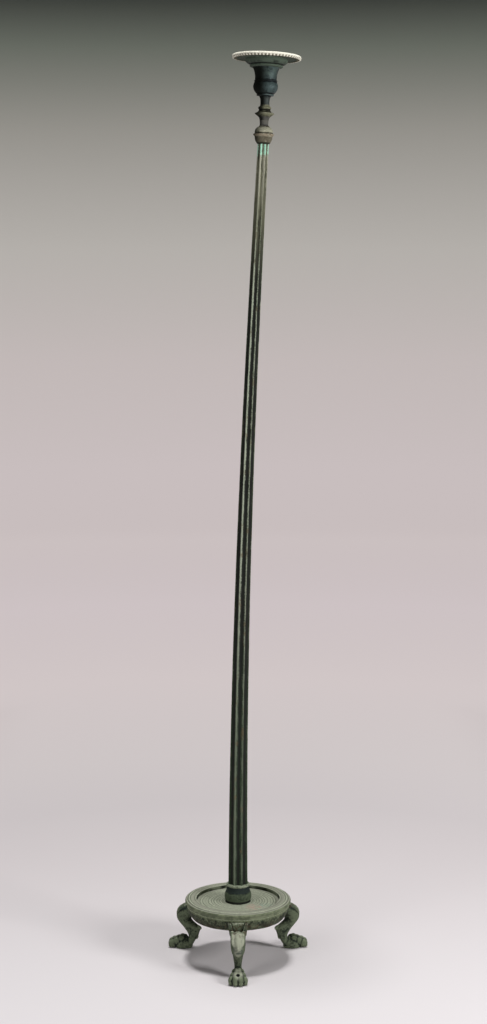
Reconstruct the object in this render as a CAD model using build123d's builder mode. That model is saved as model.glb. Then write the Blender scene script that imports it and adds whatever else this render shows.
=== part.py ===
"""Roman bronze lamp stand: a tripod of lion's legs, a turned disc, a tall fluted shaft and a crown.

The stand comes apart as the old ones do. Three cast legs take the skirt under the disc between their
wings and are riveted to it. An iron dowel, leaded into the shaft's foot, runs down through a moulded
collar and the disc, and a wedge under a plate washer draws them together. The crown of knop, spool,
bowl, mouth ring and plate is threaded on a rod, and lifts off a square tenon at the shaft's head.

The shaft has taken a bend with age, and the crown sits a little straighter than the shaft's head.
+Z is up, the floor is z = 0, and the axis of disc and collar is X = Y = 0. The shaft leans towards
+X and the front leg points along -Y. Units are millimetres.
"""

import os
from math import cos, radians, sin, tan

from build123d import *

# Disc and skirt
disc_radius = 77.5
disc_height = 92.0
rim_width = 16.5
recess_depth = 5.2
disc_web = 4.2
lip_width = 3.4
lip_height = 5.0
lip_drop = 1.0
groove_depth = 0.5
recess_ring_radii = (27.0, 39.0)
rim_ring_inset = 7.5

# Skirt. Its face is an ovolo, and each point of it gives the depth below the disc as a share of the
# skirt's depth, and how far the face lies inside the disc's edge
skirt_depth = 18.1
skirt_face = ((0.0, 2.4), (0.25, 3.0), (0.6, 5.4), (0.88, 8.3), (1.0, 10.3))
skirt_wall = 3.2
skirt_flange = 7.0
skirt_flange_thickness = 2.0
skirt_bend_share = 0.55

# Collar round the shaft's foot
collar_height = 27.2
collar_foot_radius = 18.7
collar_foot_height = 3.2
collar_band_radius = 19.6
collar_shoulder_radius = 17.3
collar_neck_radius = 15.9
torus_radius = 17.2
torus_height = 4.0
collar_web = 6.0
collar_spigot_radius = 9.0

# Shaft
shaft_length = 1064.2
shaft_foot_radius = 15.1
shaft_head_radius = 8.4
shaft_taper = 1.25
shaft_bend = 35.7
shaft_head_lean = 3.3
flute_count = 8
flute_depth_share = 0.17
arris_share = 0.055
shaft_stations = 9
foot_tenon_radius = 10.0
foot_tenon_length = 20.0

# Iron dowel, lead, washer and wedge
dowel_radius = 4.5
dowel_in_shaft = 46.0
dowel_below_washer = 11.5
lead_wall = 1.6
washer_side = 30.0
washer_thickness = 2.6
wedge_thickness = 3.0
wedge_length = 36.0
wedge_thick_end = 7.0
wedge_thin_end = 4.6
slot_headroom = 1.6

# Legs. They are measured from a circle that lies inside the disc's edge. A station is a level section:
# its height as a share of the skirt's lower edge, how far the back and the front of the leg stand out
# from the circle there, and the leg's width
leg_circle_inset = 7.5
leg_azimuths = {"front_leg": -90.0, "right_leg": 30.0, "left_leg": 150.0}
haunch_stations = (
    (1.065, -3.0, 18.5, 18.5),
    (1.04, -3.0, 21.8, 20.0),
    (0.95, 1.5, 29.0, 21.0),
    (0.85, 6.0, 33.3, 21.0),
    (0.76, 10.0, 34.0, 20.5),
    (0.68, 9.0, 32.3, 19.0),
)
shank_stations = (
    (0.68, 9.0, 32.3, 19.0),
    (0.62, 4.5, 30.0, 17.5),
    (0.53, -5.7, 24.3, 14.5),
    (0.44, -3.7, 18.8, 13.2),
    (0.37, -2.2, 15.0, 12.0),
    (0.30, -0.2, 13.2, 10.6),
    (0.17, 4.5, 19.0, 12.0),
    (0.0, 10.5, 26.0, 15.0),
)
leg_corner_share = 0.27
ridge_share = 0.32
wing_width = 30.0
wing_foot_width = 23.5
wing_reach = 8.0
wing_height = 19.5
wing_drop = 5.0
wing_corner = 2.5
web_reach = 4.8
hollow_width = 22.0
hollow_foot_width = 11.0
hollow_depth = 17.0
hollow_reach = 15.5
rivet_radius = 1.7
rivet_head_radius = 3.2
rivet_head_height = 1.6
rivet_length = 9.6
rivet_height = 3.8

# Paws. A section gives the distance from the pivot, the height and the width of a toe or the pad
paw_pivot_reach = 10.0
toe_sections = (
    (6.0, 15.0, 3.6),
    (14.5, 21.8, 7.4),
    (20.0, 19.6, 7.4),
    (26.0, 15.4, 7.2),
    (32.0, 12.4, 8.2),
    (36.0, 9.6, 6.8),
    (38.0, 6.0, 3.4),
)
pad_sections = (
    (-1.0, 8.0, 8.0),
    (4.0, 14.0, 13.0),
    (12.0, 18.5, 17.0),
    (21.0, 15.5, 20.5),
    (28.0, 9.0, 20.0),
)
paw_corner_share = 0.3
toe_count = 4
toe_step = 12.4
outer_toe_share = 0.93
paw_hole_radius = 1.6
paw_hole_floor = 4.0
paw_hole_reach = 38.5

# Crown, threaded on a rod: knop, spool, bowl, mouth ring and plate, each from the one below it
crown_lean = 2.3
tenon_side = 4.8
tenon_in_shaft = 26.0
tenon_in_crown = 27.0
stem_radius = 6.4
knop_height = 33.0
knop_seat_radius = 7.8
knop_radius = 12.6
knop_flange_radius = 14.7
spool_height = 21.0
spool_radius = 10.6
spool_flange_radius = 13.7
spool_ring_radius = 9.2
rod_radius = 2.4
rod_foot_gap = 0.5
rod_head_radius = 4.4
rod_head_height = 1.8
bowl_height = 51.0
bowl_foot_radius = 12.2
bowl_radius = 17.1
bowl_neck_radius = 15.5
bowl_bead_radius = 16.4
bowl_mouth_radius = 19.5
bowl_wall = 2.5
mouth_ring_height = 12.0
mouth_roll_radius = 23.3
mouth_ring_radius = 29.5
plate_radius = 43.2
plate_thickness = 3.8
plate_recess = 1.2
plate_lip_width = 2.4
plate_spigot_length = 3.2
plate_spigot_wall = 2.6
rim_radius = 48.5
rim_height = 5.1
rim_shoulder_share = 0.98
rim_foot_share = 0.93
rim_ledge = 1.2
rim_ledge_height = 0.5
egg_count = 60
egg_relief = 0.5

# Gaps left between pieces that slide or are pushed together
sliding_gap = 0.1
push_gap = 0.05


def chords(start, through, end, steps=2):
    """Points along the arc through three points. Turned curves are cut as this many plain cones."""
    arc = Edge.make_three_point_arc(Vector(*start), Vector(*through), Vector(*end))
    return [arc @ (index / steps) for index in range(steps + 1)]


def groove(radius, level):
    """Points of a V groove turned into a flat face at this radius."""
    return [(radius - groove_depth, level), (radius, level - groove_depth), (radius + groove_depth, level)]


recess_level = disc_height - recess_depth
disc_bottom = recess_level - disc_web
skirt_bottom = disc_bottom - skirt_depth
collar_top = recess_level + collar_height

skirt_outline = [(disc_radius - inset, disc_bottom - skirt_depth * share) for share, inset in skirt_face]
skirt_head_radius = skirt_outline[0][0]
skirt_inner_radius = skirt_outline[-1][0] - skirt_wall
leg_circle = disc_radius - leg_circle_inset

# Disc: a flat rim with a lower rounded lip outside it, and a recess with turned rings
flat_rim_radius = disc_radius - lip_width
lip_top = disc_height - lip_drop
lip_bottom = lip_top - lip_height
rim_inner_radius = disc_radius - rim_width
with BuildPart() as base_disc:
    with BuildSketch(Plane.XZ):
        with BuildLine():
            Polyline(
                (flat_rim_radius - groove_depth, disc_height),
                *chords(
                    (flat_rim_radius, lip_top),
                    (disc_radius, (lip_top + lip_bottom) / 2),
                    (flat_rim_radius + lip_width / 2, lip_bottom),
                ),
                (skirt_head_radius, lip_bottom),
                (skirt_head_radius, disc_bottom),
                (collar_spigot_radius + push_gap, disc_bottom),
                (collar_spigot_radius + push_gap, recess_level),
                *groove(recess_ring_radii[0], recess_level),
                *groove(recess_ring_radii[1], recess_level),
                (rim_inner_radius - recess_depth / 4, recess_level),
                (rim_inner_radius, disc_height),
                *groove(disc_radius - rim_ring_inset, disc_height),
                close=True,
            )
        make_face()
    revolve(axis=Axis.Z)

# Skirt: a hollow ring with an ovolo face and an inner flange soldered to the disc
rivet_level = skirt_bottom + rivet_height
flange_radius = skirt_head_radius - skirt_wall * 1.5
with BuildPart() as skirt:
    with BuildSketch(Plane.XZ):
        with BuildLine():
            Polyline(
                *skirt_outline,
                (skirt_inner_radius, skirt_bottom),
                (skirt_inner_radius, disc_bottom - skirt_depth * skirt_bend_share),
                (flange_radius, disc_bottom - skirt_flange_thickness),
                (flange_radius - skirt_flange, disc_bottom - skirt_flange_thickness),
                (flange_radius - skirt_flange, disc_bottom),
                close=True,
            )
        make_face()
    revolve(axis=Axis.Z)


def rivet_plane(azimuth):
    """Plane of a leg's rivet, on the inner face of the skirt's wall and facing outwards."""
    outwards = Vector(cos(radians(azimuth)), sin(radians(azimuth)), 0)
    seat = outwards * skirt_inner_radius + Vector(0, 0, rivet_level)
    return Plane(seat, Vector(-outwards.Y, outwards.X, 0), outwards)


# The skirt is drilled for the rivets, with a flat seat for each head on the curved inner face
with BuildPart() as drilled_skirt:
    add(skirt.part)
    for azimuth in leg_azimuths.values():
        with BuildSketch(rivet_plane(azimuth)):
            Circle(rivet_radius)
        extrude(amount=rivet_length, mode=Mode.SUBTRACT)
        with BuildSketch(rivet_plane(azimuth)):
            Circle(rivet_head_radius + push_gap)
        extrude(amount=-rivet_head_height, mode=Mode.SUBTRACT)

# Collar: foot, swelling band and neck under a torus, bored for the shaft's foot tenon and the dowel
torus_bottom = collar_top - torus_height
foot_top = recess_level + collar_foot_height
band_height = torus_bottom - foot_top
with BuildPart() as shaft_collar:
    with BuildSketch(Plane.XZ):
        with BuildLine():
            Polyline(
                (dowel_radius + push_gap, disc_bottom),
                (collar_spigot_radius, disc_bottom),
                (collar_spigot_radius, recess_level),
                (collar_foot_radius, recess_level),
                *chords(
                    (collar_foot_radius, foot_top),
                    (collar_band_radius, foot_top + band_height * 0.28),
                    (collar_foot_radius, foot_top + band_height * 0.56),
                ),
                (collar_shoulder_radius, foot_top + band_height * 0.7),
                *chords(
                    (collar_neck_radius, torus_bottom),
                    (torus_radius, torus_bottom + torus_height / 2),
                    (collar_neck_radius, collar_top),
                ),
                (foot_tenon_radius + push_gap, collar_top),
                (foot_tenon_radius + push_gap, recess_level + collar_web),
                (dowel_radius + push_gap, recess_level + collar_web),
                close=True,
            )
        make_face()
    revolve(axis=Axis.Z)

# The line that the bent shaft follows, and the crown's own axis at its head
shaft_foot = Vector(0, 0, collar_top)
shaft_head = Vector(shaft_bend, 0, collar_top + shaft_length)
pull = shaft_length / 3
centreline = Edge.make_bezier(
    shaft_foot,
    shaft_foot + Vector(0, 0, pull),
    shaft_head - Vector(pull * tan(radians(shaft_head_lean)), 0, pull),
    shaft_head,
)
crown_up = Vector(sin(radians(crown_lean)), 0, cos(radians(crown_lean)))
crown_side = Vector(crown_up.Z, 0, -crown_up.X)
crown_axis = Axis(shaft_head, crown_up)
crown_section = Plane(origin=shaft_head, x_dir=crown_side, z_dir=Vector(0, -1, 0))


def crown_level(height):
    """Plane square to the crown's axis at this height above its seat on the shaft."""
    return Plane(origin=shaft_head + crown_up * height, x_dir=crown_side, z_dir=crown_up)


def shaft_radius_at(share):
    """Arris radius at this share of the length: a taper that eases off above."""
    return shaft_head_radius + (shaft_foot_radius - shaft_head_radius) * (1 - share) ** shaft_taper


def flute_outline(radius):
    """Closed line of the fluted section, one arc for each flute and a short flat for each arris.

    A flute is centred on the front."""
    step = 360 / flute_count
    half_arris = step * arris_share
    for index in range(flute_count):
        start = (index - 0.5) * step - 90 + half_arris
        end = (index + 0.5) * step - 90 - half_arris
        points = [(radius, start), (radius * (1 - flute_depth_share), (start + end) / 2), (radius, end)]
        ThreePointArc(*[(r * cos(radians(a)), r * sin(radians(a))) for r, a in points])
        arris_start = (radius * cos(radians(end)), radius * sin(radians(end)))
        PolarLine(arris_start, 2 * radius * sin(radians(half_arris)), end + half_arris + 90)


# Shaft: eight hollow flutes between narrow arrises, tapering along a line that bends with height
lead_radius = dowel_radius + lead_wall
with BuildPart() as shaft:
    for station in range(shaft_stations):
        share = station / (shaft_stations - 1)
        along = centreline.tangent_at(share)
        point = centreline.position_at(share)
        if station == shaft_stations - 1:
            point += along * shaft_head_radius / 2
        with BuildSketch(Plane(origin=point, x_dir=Vector(along.Z, 0, -along.X), z_dir=along)):
            with BuildLine():
                flute_outline(shaft_radius_at(share))
            make_face()
    loft(ruled=True)
    split(bisect_by=crown_level(0), keep=Keep.BOTTOM)
    with BuildSketch(Plane.XY.offset(collar_top)):
        Circle(foot_tenon_radius)
    extrude(amount=-foot_tenon_length)
    with BuildSketch(Plane.XY.offset(collar_top - foot_tenon_length)):
        Circle(lead_radius)
    extrude(amount=foot_tenon_length + dowel_in_shaft, mode=Mode.SUBTRACT)
    with BuildSketch(crown_level(0)):
        Rectangle(tenon_side, tenon_side)
    extrude(amount=-tenon_in_shaft, mode=Mode.SUBTRACT)

# Dowel: an iron rod with a slot at its foot for the wedge
dowel_top = collar_top + dowel_in_shaft
washer_bottom = disc_bottom - washer_thickness
wedge_low = washer_bottom - wedge_thick_end
wedge_high = washer_bottom - wedge_thin_end
with BuildPart() as shaft_dowel:
    with BuildSketch(Plane.XY.offset(washer_bottom - dowel_below_washer)):
        Circle(dowel_radius)
    extrude(amount=dowel_top - washer_bottom + dowel_below_washer)
    with BuildSketch(Plane.XZ):
        with BuildLine():
            Polyline(
                (-wedge_length / 2, wedge_low),
                (wedge_length / 2, wedge_high),
                (wedge_length / 2, washer_bottom + slot_headroom),
                (-wedge_length / 2, washer_bottom + slot_headroom),
                close=True,
            )
        make_face()
    extrude(amount=wedge_thickness / 2 + push_gap, both=True, mode=Mode.SUBTRACT)

# Lead that fixes the dowel in the shaft's foot
with BuildPart() as dowel_lead:
    with BuildSketch(Plane.XY.offset(collar_top - foot_tenon_length)):
        Circle(lead_radius)
        Circle(dowel_radius, mode=Mode.SUBTRACT)
    extrude(amount=foot_tenon_length + dowel_in_shaft)

# Plate washer under the disc, and the wedge that bears on it
with BuildPart() as dowel_washer:
    with BuildSketch(Plane.XY.offset(disc_bottom)):
        Rectangle(washer_side, washer_side)
        Circle(dowel_radius + push_gap, mode=Mode.SUBTRACT)
    extrude(amount=-washer_thickness)

with BuildPart() as dowel_wedge:
    with BuildSketch(Plane.XZ):
        with BuildLine():
            Polyline(
                (-wedge_length / 2, wedge_low),
                (wedge_length / 2, wedge_high),
                (wedge_length / 2, washer_bottom),
                (-wedge_length / 2, washer_bottom),
                close=True,
            )
        make_face()
    extrude(amount=wedge_thickness / 2, both=True)


def leg_outline(back, front, width, ridges):
    """Level section of a leg: bevelled at its four corners, with three ridges down its front if asked."""
    corner = width * leg_corner_share
    half_face = width / 2 - corner
    face = [(front, -half_face), (front, half_face)]
    if ridges:
        ridge = half_face / 3 * ridge_share * 2
        face = [(front + ridge * (index % 2), half_face * (index / 3 - 1)) for index in range(7)]
    Polyline(
        (back, half_face),
        (back, -half_face),
        (back + corner, -width / 2),
        (front - corner, -width / 2),
        *face,
        (front - corner, width / 2),
        (back + corner, width / 2),
        close=True,
    )


def paw_outline(height, width):
    """Upright section of a toe or the pad: flat on the floor and bevelled at its top corners."""
    corner = width * paw_corner_share
    Polyline(
        (-width / 2, 0),
        (width / 2, 0),
        (width / 2, height - corner),
        (width / 2 - corner, height),
        (corner - width / 2, height),
        (-width / 2, height - corner),
        close=True,
    )


def paw_part(sections, share=1.0):
    """Toe or pad along +X from the paw's pivot, with this share of the sections' length and height."""
    with BuildPart() as piece:
        for distance, height, width in sections:
            with BuildSketch(Plane(origin=(distance * share, 0, 0), x_dir=(0, 1, 0), z_dir=(1, 0, 0))):
                with BuildLine():
                    paw_outline(height * share, width)
                make_face()
        loft(ruled=True)
    return piece.part


# Paw: a pad with its toes fanned out in front of it, the outer ones a little smaller
pad = paw_part(pad_sections)
inner_toe = paw_part(toe_sections)
outer_toe = paw_part(toe_sections, outer_toe_share)
with BuildPart() as paw:
    with Locations((leg_circle + paw_pivot_reach, 0, 0)):
        add(pad)
        for index in range(toe_count):
            is_outer = index in (0, toe_count - 1)
            turn = (index - (toe_count - 1) / 2) * toe_step
            add(outer_toe if is_outer else inner_toe, rotation=(0, 0, turn))


def limb_part(stations, ridges):
    """Stretch of a leg through these level sections, standing out along +X."""
    with BuildPart() as piece:
        for share, back, front, width in stations:
            with BuildSketch(Plane.XY.offset(skirt_bottom * share)):
                with BuildLine():
                    leg_outline(leg_circle + back, leg_circle + front, width, ridges)
                make_face()
        loft(ruled=True)
    return piece.part


# One leg, pointing along +X: ridged haunch, hock and paw, under a bracket that takes the skirt's lower
# edge. The bracket is a web between two wings, and a hollow runs down between them into the haunch
haunch = limb_part(haunch_stations, True)
shank = limb_part(shank_stations, False)
wing_bottom = skirt_bottom - wing_drop
wing_top = wing_bottom + wing_height
with BuildPart() as lion_leg:
    add(haunch)
    add(shank)
    add(paw.part)
    with BuildSketch(Plane.YZ.offset(skirt_inner_radius)):
        with BuildLine():
            Polyline(
                (-wing_width / 2, wing_top),
                (wing_width / 2, wing_top),
                (wing_foot_width / 2, wing_bottom),
                (-wing_foot_width / 2, wing_bottom),
                close=True,
            )
        make_face()
        chamfer(vertices().group_by(Axis.Y)[0], wing_corner)
    extrude(amount=leg_circle + wing_reach - skirt_inner_radius)
    with BuildSketch(Plane.YZ.offset(leg_circle + web_reach)):
        with BuildLine():
            Polyline(
                (-hollow_width / 2, wing_top),
                (hollow_width / 2, wing_top),
                (hollow_foot_width / 2, wing_top - hollow_depth),
                (-hollow_foot_width / 2, wing_top - hollow_depth),
                close=True,
            )
        make_face()
    extrude(amount=hollow_reach - web_reach, mode=Mode.SUBTRACT)
    with BuildSketch(Plane.XZ):
        with BuildLine():
            Polyline((0, disc_bottom), *skirt_outline, (0, skirt_bottom), close=True)
        make_face()
    revolve(axis=Axis.Z, mode=Mode.SUBTRACT)

# The three legs. Each is drilled for its rivet, and the front one has a small hole in its paw
legs = []
for name, azimuth in leg_azimuths.items():
    with BuildPart() as leg:
        add(lion_leg.part, rotation=(0, 0, azimuth))
        with BuildSketch(rivet_plane(azimuth)):
            Circle(rivet_radius)
        extrude(amount=rivet_length, mode=Mode.SUBTRACT)
        if name == "front_leg":
            hole_reach = leg_circle + paw_hole_reach
            with BuildSketch(Plane.XY.offset(paw_hole_floor)):
                with Locations((hole_reach * cos(radians(azimuth)), hole_reach * sin(radians(azimuth)))):
                    Circle(paw_hole_radius)
            extrude(amount=skirt_bottom / 3, mode=Mode.SUBTRACT)
    leg.part.label = name
    legs.append(leg.part)

with BuildPart() as leg_rivets:
    for azimuth in leg_azimuths.values():
        with BuildSketch(rivet_plane(azimuth)):
            Circle(rivet_radius)
        extrude(amount=rivet_length)
        with BuildSketch(rivet_plane(azimuth)):
            Circle(rivet_head_radius)
        extrude(amount=-rivet_head_height)

# Square bar leaded into the head of the shaft, on which the crown slides
with BuildPart() as head_tenon:
    with BuildSketch(crown_level(-tenon_in_shaft)):
        Rectangle(tenon_side, tenon_side)
    extrude(amount=tenon_in_shaft + tenon_in_crown)
    chamfer(head_tenon.faces().sort_by(crown_axis)[-1].edges(), tenon_side / 5)

# Knop: a cup under a sharp flange, a cap and the lower stem, with a square socket in its seat
socket_depth = tenon_in_crown + rod_foot_gap
with BuildPart() as crown_knop:
    with BuildSketch(crown_section):
        with BuildLine():
            Polyline(
                *chords(
                    (knop_seat_radius, 0),
                    (knop_radius * 0.88, knop_height * 0.14),
                    (knop_radius, knop_height * 0.32),
                ),
                (knop_flange_radius, knop_height * 0.41),
                (knop_flange_radius, knop_height * 0.455),
                *chords(
                    (knop_radius, knop_height * 0.53),
                    (knop_radius * 0.9, knop_height * 0.65),
                    (stem_radius * 1.15, knop_height * 0.735),
                ),
                (stem_radius * 0.94, knop_height * 0.78),
                (stem_radius * 0.94, knop_height * 0.95),
                (stem_radius, knop_height),
                (0, knop_height),
                (0, 0),
                close=True,
            )
        make_face()
    revolve(axis=crown_axis)
    with BuildSketch(crown_level(0)):
        Rectangle(tenon_side + 2 * sliding_gap, tenon_side + 2 * sliding_gap)
    extrude(amount=socket_depth, mode=Mode.SUBTRACT)
    with BuildSketch(crown_level(socket_depth)):
        Circle(rod_radius)
    extrude(amount=knop_height - socket_depth, mode=Mode.SUBTRACT)

# Spool: a flaring foot, a sharp flange and a small ring
spool_level = knop_height
with BuildPart() as crown_spool:
    with BuildSketch(crown_section):
        with BuildLine():
            Polyline(
                (stem_radius, spool_level),
                (stem_radius * 1.24, spool_level + spool_height * 0.16),
                (spool_radius, spool_level + spool_height * 0.29),
                (spool_flange_radius, spool_level + spool_height * 0.41),
                (spool_flange_radius, spool_level + spool_height * 0.45),
                (spool_ring_radius, spool_level + spool_height * 0.57),
                (spool_ring_radius * 0.88, spool_level + spool_height * 0.7),
                (spool_ring_radius, spool_level + spool_height * 0.77),
                (spool_ring_radius, spool_level + spool_height * 0.84),
                (stem_radius, spool_level + spool_height * 0.93),
                (stem_radius, spool_level + spool_height),
                (rod_radius, spool_level + spool_height),
                (rod_radius, spool_level),
                close=True,
            )
        make_face()
    revolve(axis=crown_axis)

# Bowl: the form of a mixing bowl, cast hollow, on the upper stem and a foot ring
bowl_level = spool_level + spool_height
bowl_floor_level = bowl_level + bowl_height * 0.34
bowl_top = bowl_level + bowl_height
with BuildPart() as crown_bowl:
    with BuildSketch(crown_section):
        with BuildLine():
            Polyline(
                (stem_radius, bowl_level),
                (stem_radius * 1.05, bowl_level + bowl_height * 0.16),
                (stem_radius * 1.4, bowl_level + bowl_height * 0.232),
                (bowl_foot_radius, bowl_level + bowl_height * 0.247),
                *chords(
                    (bowl_foot_radius, bowl_level + bowl_height * 0.28),
                    (bowl_radius, bowl_level + bowl_height * 0.47),
                    (bowl_neck_radius, bowl_level + bowl_height * 0.615),
                    steps=4,
                ),
                (bowl_bead_radius, bowl_level + bowl_height * 0.64),
                *chords(
                    (bowl_neck_radius, bowl_level + bowl_height * 0.665),
                    (bowl_neck_radius * 1.05, bowl_level + bowl_height * 0.86),
                    (bowl_mouth_radius, bowl_top),
                ),
                (bowl_mouth_radius - bowl_wall, bowl_top),
                (bowl_neck_radius - bowl_wall, bowl_level + bowl_height * 0.8),
                (bowl_neck_radius - bowl_wall, bowl_level + bowl_height * 0.62),
                (bowl_radius - bowl_wall, bowl_level + bowl_height * 0.48),
                (bowl_foot_radius - bowl_wall / 2, bowl_floor_level),
                (rod_radius, bowl_floor_level),
                (rod_radius, bowl_level),
                close=True,
            )
        make_face()
    revolve(axis=crown_axis)

# Rod that threads knop, spool and bowl, with its head hammered over on the bowl's floor
with BuildPart() as crown_rod:
    with BuildSketch(crown_section):
        with BuildLine():
            Polyline(
                (0, socket_depth),
                (rod_radius, socket_depth),
                (rod_radius, bowl_floor_level),
                (rod_head_radius, bowl_floor_level),
                (rod_head_radius * 0.5, bowl_floor_level + rod_head_height),
                (0, bowl_floor_level + rod_head_height),
                close=True,
            )
        make_face()
    revolve(axis=crown_axis)

# Mouth ring: a roll on the bowl's mouth, then a cove that spreads to carry the plate
ring_top = bowl_top + mouth_ring_height
mouth_radius = bowl_mouth_radius - bowl_wall
with BuildPart() as mouth_ring:
    with BuildSketch(crown_section):
        with BuildLine():
            Polyline(
                (mouth_radius, bowl_top),
                (bowl_mouth_radius, bowl_top),
                (mouth_roll_radius, bowl_top + mouth_ring_height * 0.1),
                (mouth_roll_radius, bowl_top + mouth_ring_height * 0.27),
                (mouth_roll_radius * 0.96, bowl_top + mouth_ring_height * 0.32),
                *chords(
                    (mouth_roll_radius * 1.02, bowl_top + mouth_ring_height * 0.36),
                    (mouth_ring_radius * 0.93, bowl_top + mouth_ring_height * 0.47),
                    (mouth_ring_radius, bowl_top + mouth_ring_height * 0.68),
                ),
                (mouth_ring_radius, ring_top),
                (mouth_radius, ring_top),
                close=True,
            )
        make_face()
    revolve(axis=crown_axis)

# Plate: a flat dish with a low lip, and a spigot ring that centres it in the mouth ring
plate_top = ring_top + plate_thickness
spigot_radius = mouth_radius - push_gap
with BuildPart() as lamp_plate:
    with BuildSketch(crown_section):
        with BuildLine():
            Polyline(
                (0, ring_top),
                (spigot_radius - plate_spigot_wall, ring_top),
                (spigot_radius - plate_spigot_wall, ring_top - plate_spigot_length),
                (spigot_radius, ring_top - plate_spigot_length),
                (spigot_radius, ring_top),
                (plate_radius, ring_top),
                (plate_radius, plate_top),
                (plate_radius - plate_lip_width, plate_top),
                (plate_radius - plate_lip_width - plate_recess, plate_top - plate_recess),
                (0, plate_top - plate_recess),
                close=True,
            )
        make_face()
    revolve(axis=crown_axis)



def egg_outline(radius):
    """Closed line of the rim at one level, one arc for each egg."""
    half_step = radians(180 / egg_count)
    for index in range(egg_count):
        turns = [(2 * index + part) * half_step for part in range(3)]
        radii = (radius - egg_relief, radius, radius - egg_relief)
        ThreePointArc(*[(r * cos(turn), r * sin(turn)) for r, turn in zip(radii, turns)])


# Rim: a ring round the plate with a ledge under its edge. Its face is an ovolo with a row of eggs
rim_bottom = ring_top - rim_ledge_height
rim_sections = ((0, rim_foot_share), (0.55, rim_shoulder_share), (1, 1))
with BuildPart() as plate_rim:
    for height_share, radius_share in rim_sections:
        with BuildSketch(crown_level(rim_bottom + rim_height * height_share)):
            with BuildLine():
                egg_outline(rim_radius * radius_share)
            make_face()
    loft(ruled=True)
    with BuildSketch(crown_level(rim_bottom)):
        Circle(plate_radius - rim_ledge)
    extrude(amount=rim_height, mode=Mode.SUBTRACT)
    with BuildSketch(crown_level(ring_top)):
        Circle(plate_radius)
    extrude(amount=rim_height, mode=Mode.SUBTRACT)

named_parts = {
    "base_disc": base_disc,
    "skirt": drilled_skirt,
    "leg_rivets": leg_rivets,
    "shaft_collar": shaft_collar,
    "shaft": shaft,
    "shaft_dowel": shaft_dowel,
    "dowel_lead": dowel_lead,
    "dowel_washer": dowel_washer,
    "dowel_wedge": dowel_wedge,
    "head_tenon": head_tenon,
    "crown_knop": crown_knop,
    "crown_spool": crown_spool,
    "crown_bowl": crown_bowl,
    "crown_rod": crown_rod,
    "mouth_ring": mouth_ring,
    "lamp_plate": lamp_plate,
    "plate_rim": plate_rim,
}
for name, builder in named_parts.items():
    builder.part.label = name

os.makedirs("parts", exist_ok=True)
for piece in [builder.part for builder in named_parts.values()] + legs:
    export_step(piece, f"parts/{piece.label}.step")
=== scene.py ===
"""Looks for a Roman bronze lamp stand: lion's-paw legs, turned disc, fluted shaft and lift-off crown.

Each operator models one piece, or a group of like pieces, in place on the packed frame. Lengths are in
metres. The disc's axis is X = Y = 0, the floor is Z = 0 and the front leg points along -Y.
"""

import math

import bpy
import numpy as np
from bpy.props import FloatProperty, FloatVectorProperty, IntProperty, PointerProperty
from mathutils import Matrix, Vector


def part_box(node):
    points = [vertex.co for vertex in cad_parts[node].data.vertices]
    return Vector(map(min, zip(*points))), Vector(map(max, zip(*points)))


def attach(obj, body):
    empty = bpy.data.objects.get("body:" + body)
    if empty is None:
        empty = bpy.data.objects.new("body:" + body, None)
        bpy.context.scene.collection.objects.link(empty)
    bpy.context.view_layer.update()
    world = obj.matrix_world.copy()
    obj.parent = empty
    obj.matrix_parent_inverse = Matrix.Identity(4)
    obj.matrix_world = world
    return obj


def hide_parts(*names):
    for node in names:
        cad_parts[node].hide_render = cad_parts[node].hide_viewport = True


bl_info = {
    "name": "Roman Lamp Stand",
    "version": (1, 0, 0),
    "blender": (4, 5, 0),
    "location": "View3D > Sidebar > Lamp Stand",
    "description": "Models a Roman bronze lamp stand piece by piece, with its patina",
    "category": "Add Mesh",
}

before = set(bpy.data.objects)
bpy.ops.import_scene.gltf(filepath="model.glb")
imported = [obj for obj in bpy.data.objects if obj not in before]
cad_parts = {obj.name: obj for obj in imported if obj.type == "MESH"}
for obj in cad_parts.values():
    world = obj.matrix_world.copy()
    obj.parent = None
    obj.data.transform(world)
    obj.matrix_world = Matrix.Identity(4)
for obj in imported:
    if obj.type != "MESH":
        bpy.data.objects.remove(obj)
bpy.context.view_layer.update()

MM = 0.001
STAND = "stand"
CROWN = "crown"
LEGS = {"front_leg": -90.0, "right_leg": 30.0, "left_leg": 150.0}

disc_low, disc_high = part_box("base_disc")
skirt_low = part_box("skirt")[0]
collar_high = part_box("shaft_collar")[1]


def length(name, description, default):
    """A size in the sidebar, given here in metres."""
    return FloatProperty(name=name, description=description, default=default, unit="LENGTH", precision=4)


def watts(name, description, default):
    """A lamp's power in the sidebar."""
    return FloatProperty(name=name, description=description, default=default, min=0.0, unit="POWER")


def colour(name, description, default):
    """A finish colour in the sidebar, in linear light."""
    return FloatVectorProperty(
        name=name, description=description, default=default, size=3, subtype="COLOR", min=0.0, max=1.0
    )


class BaseSizes(bpy.types.PropertyGroup):
    """Sizes of disc, skirt and collar."""

    disc_radius: length("Disc Radius", "Radius of the turned disc over its lip", disc_high.x - 0.0001)
    disc_top: length("Disc Top", "Height of the disc's flat rim above the floor", disc_high.z)
    disc_bottom: length("Disc Underside", "Height of the disc's underside above the floor", disc_low.z)
    recess_radius: length("Recess Radius", "Radius of the sunk field inside the flat rim", 0.061)
    recess_depth: length("Recess Depth", "Depth of the sunk field below the rim", 0.0052)
    skirt_head: length("Skirt Head", "Radius of the skirt's ovolo face at its head", 0.0751)
    skirt_foot: length("Skirt Foot", "Radius of the skirt's ovolo face at its lower edge", 0.0672)
    skirt_bottom: length("Skirt Bottom", "Height of the skirt's lower edge above the floor", skirt_low.z)
    skirt_wall: length("Skirt Wall", "Thickness of the skirt at its lower edge", 0.0032)
    collar_top: length("Collar Top", "Height of the collar's torus above the floor", collar_high.z)
    collar_radius: length("Collar Radius", "Largest radius of the collar, over its band", 0.01955)


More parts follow.
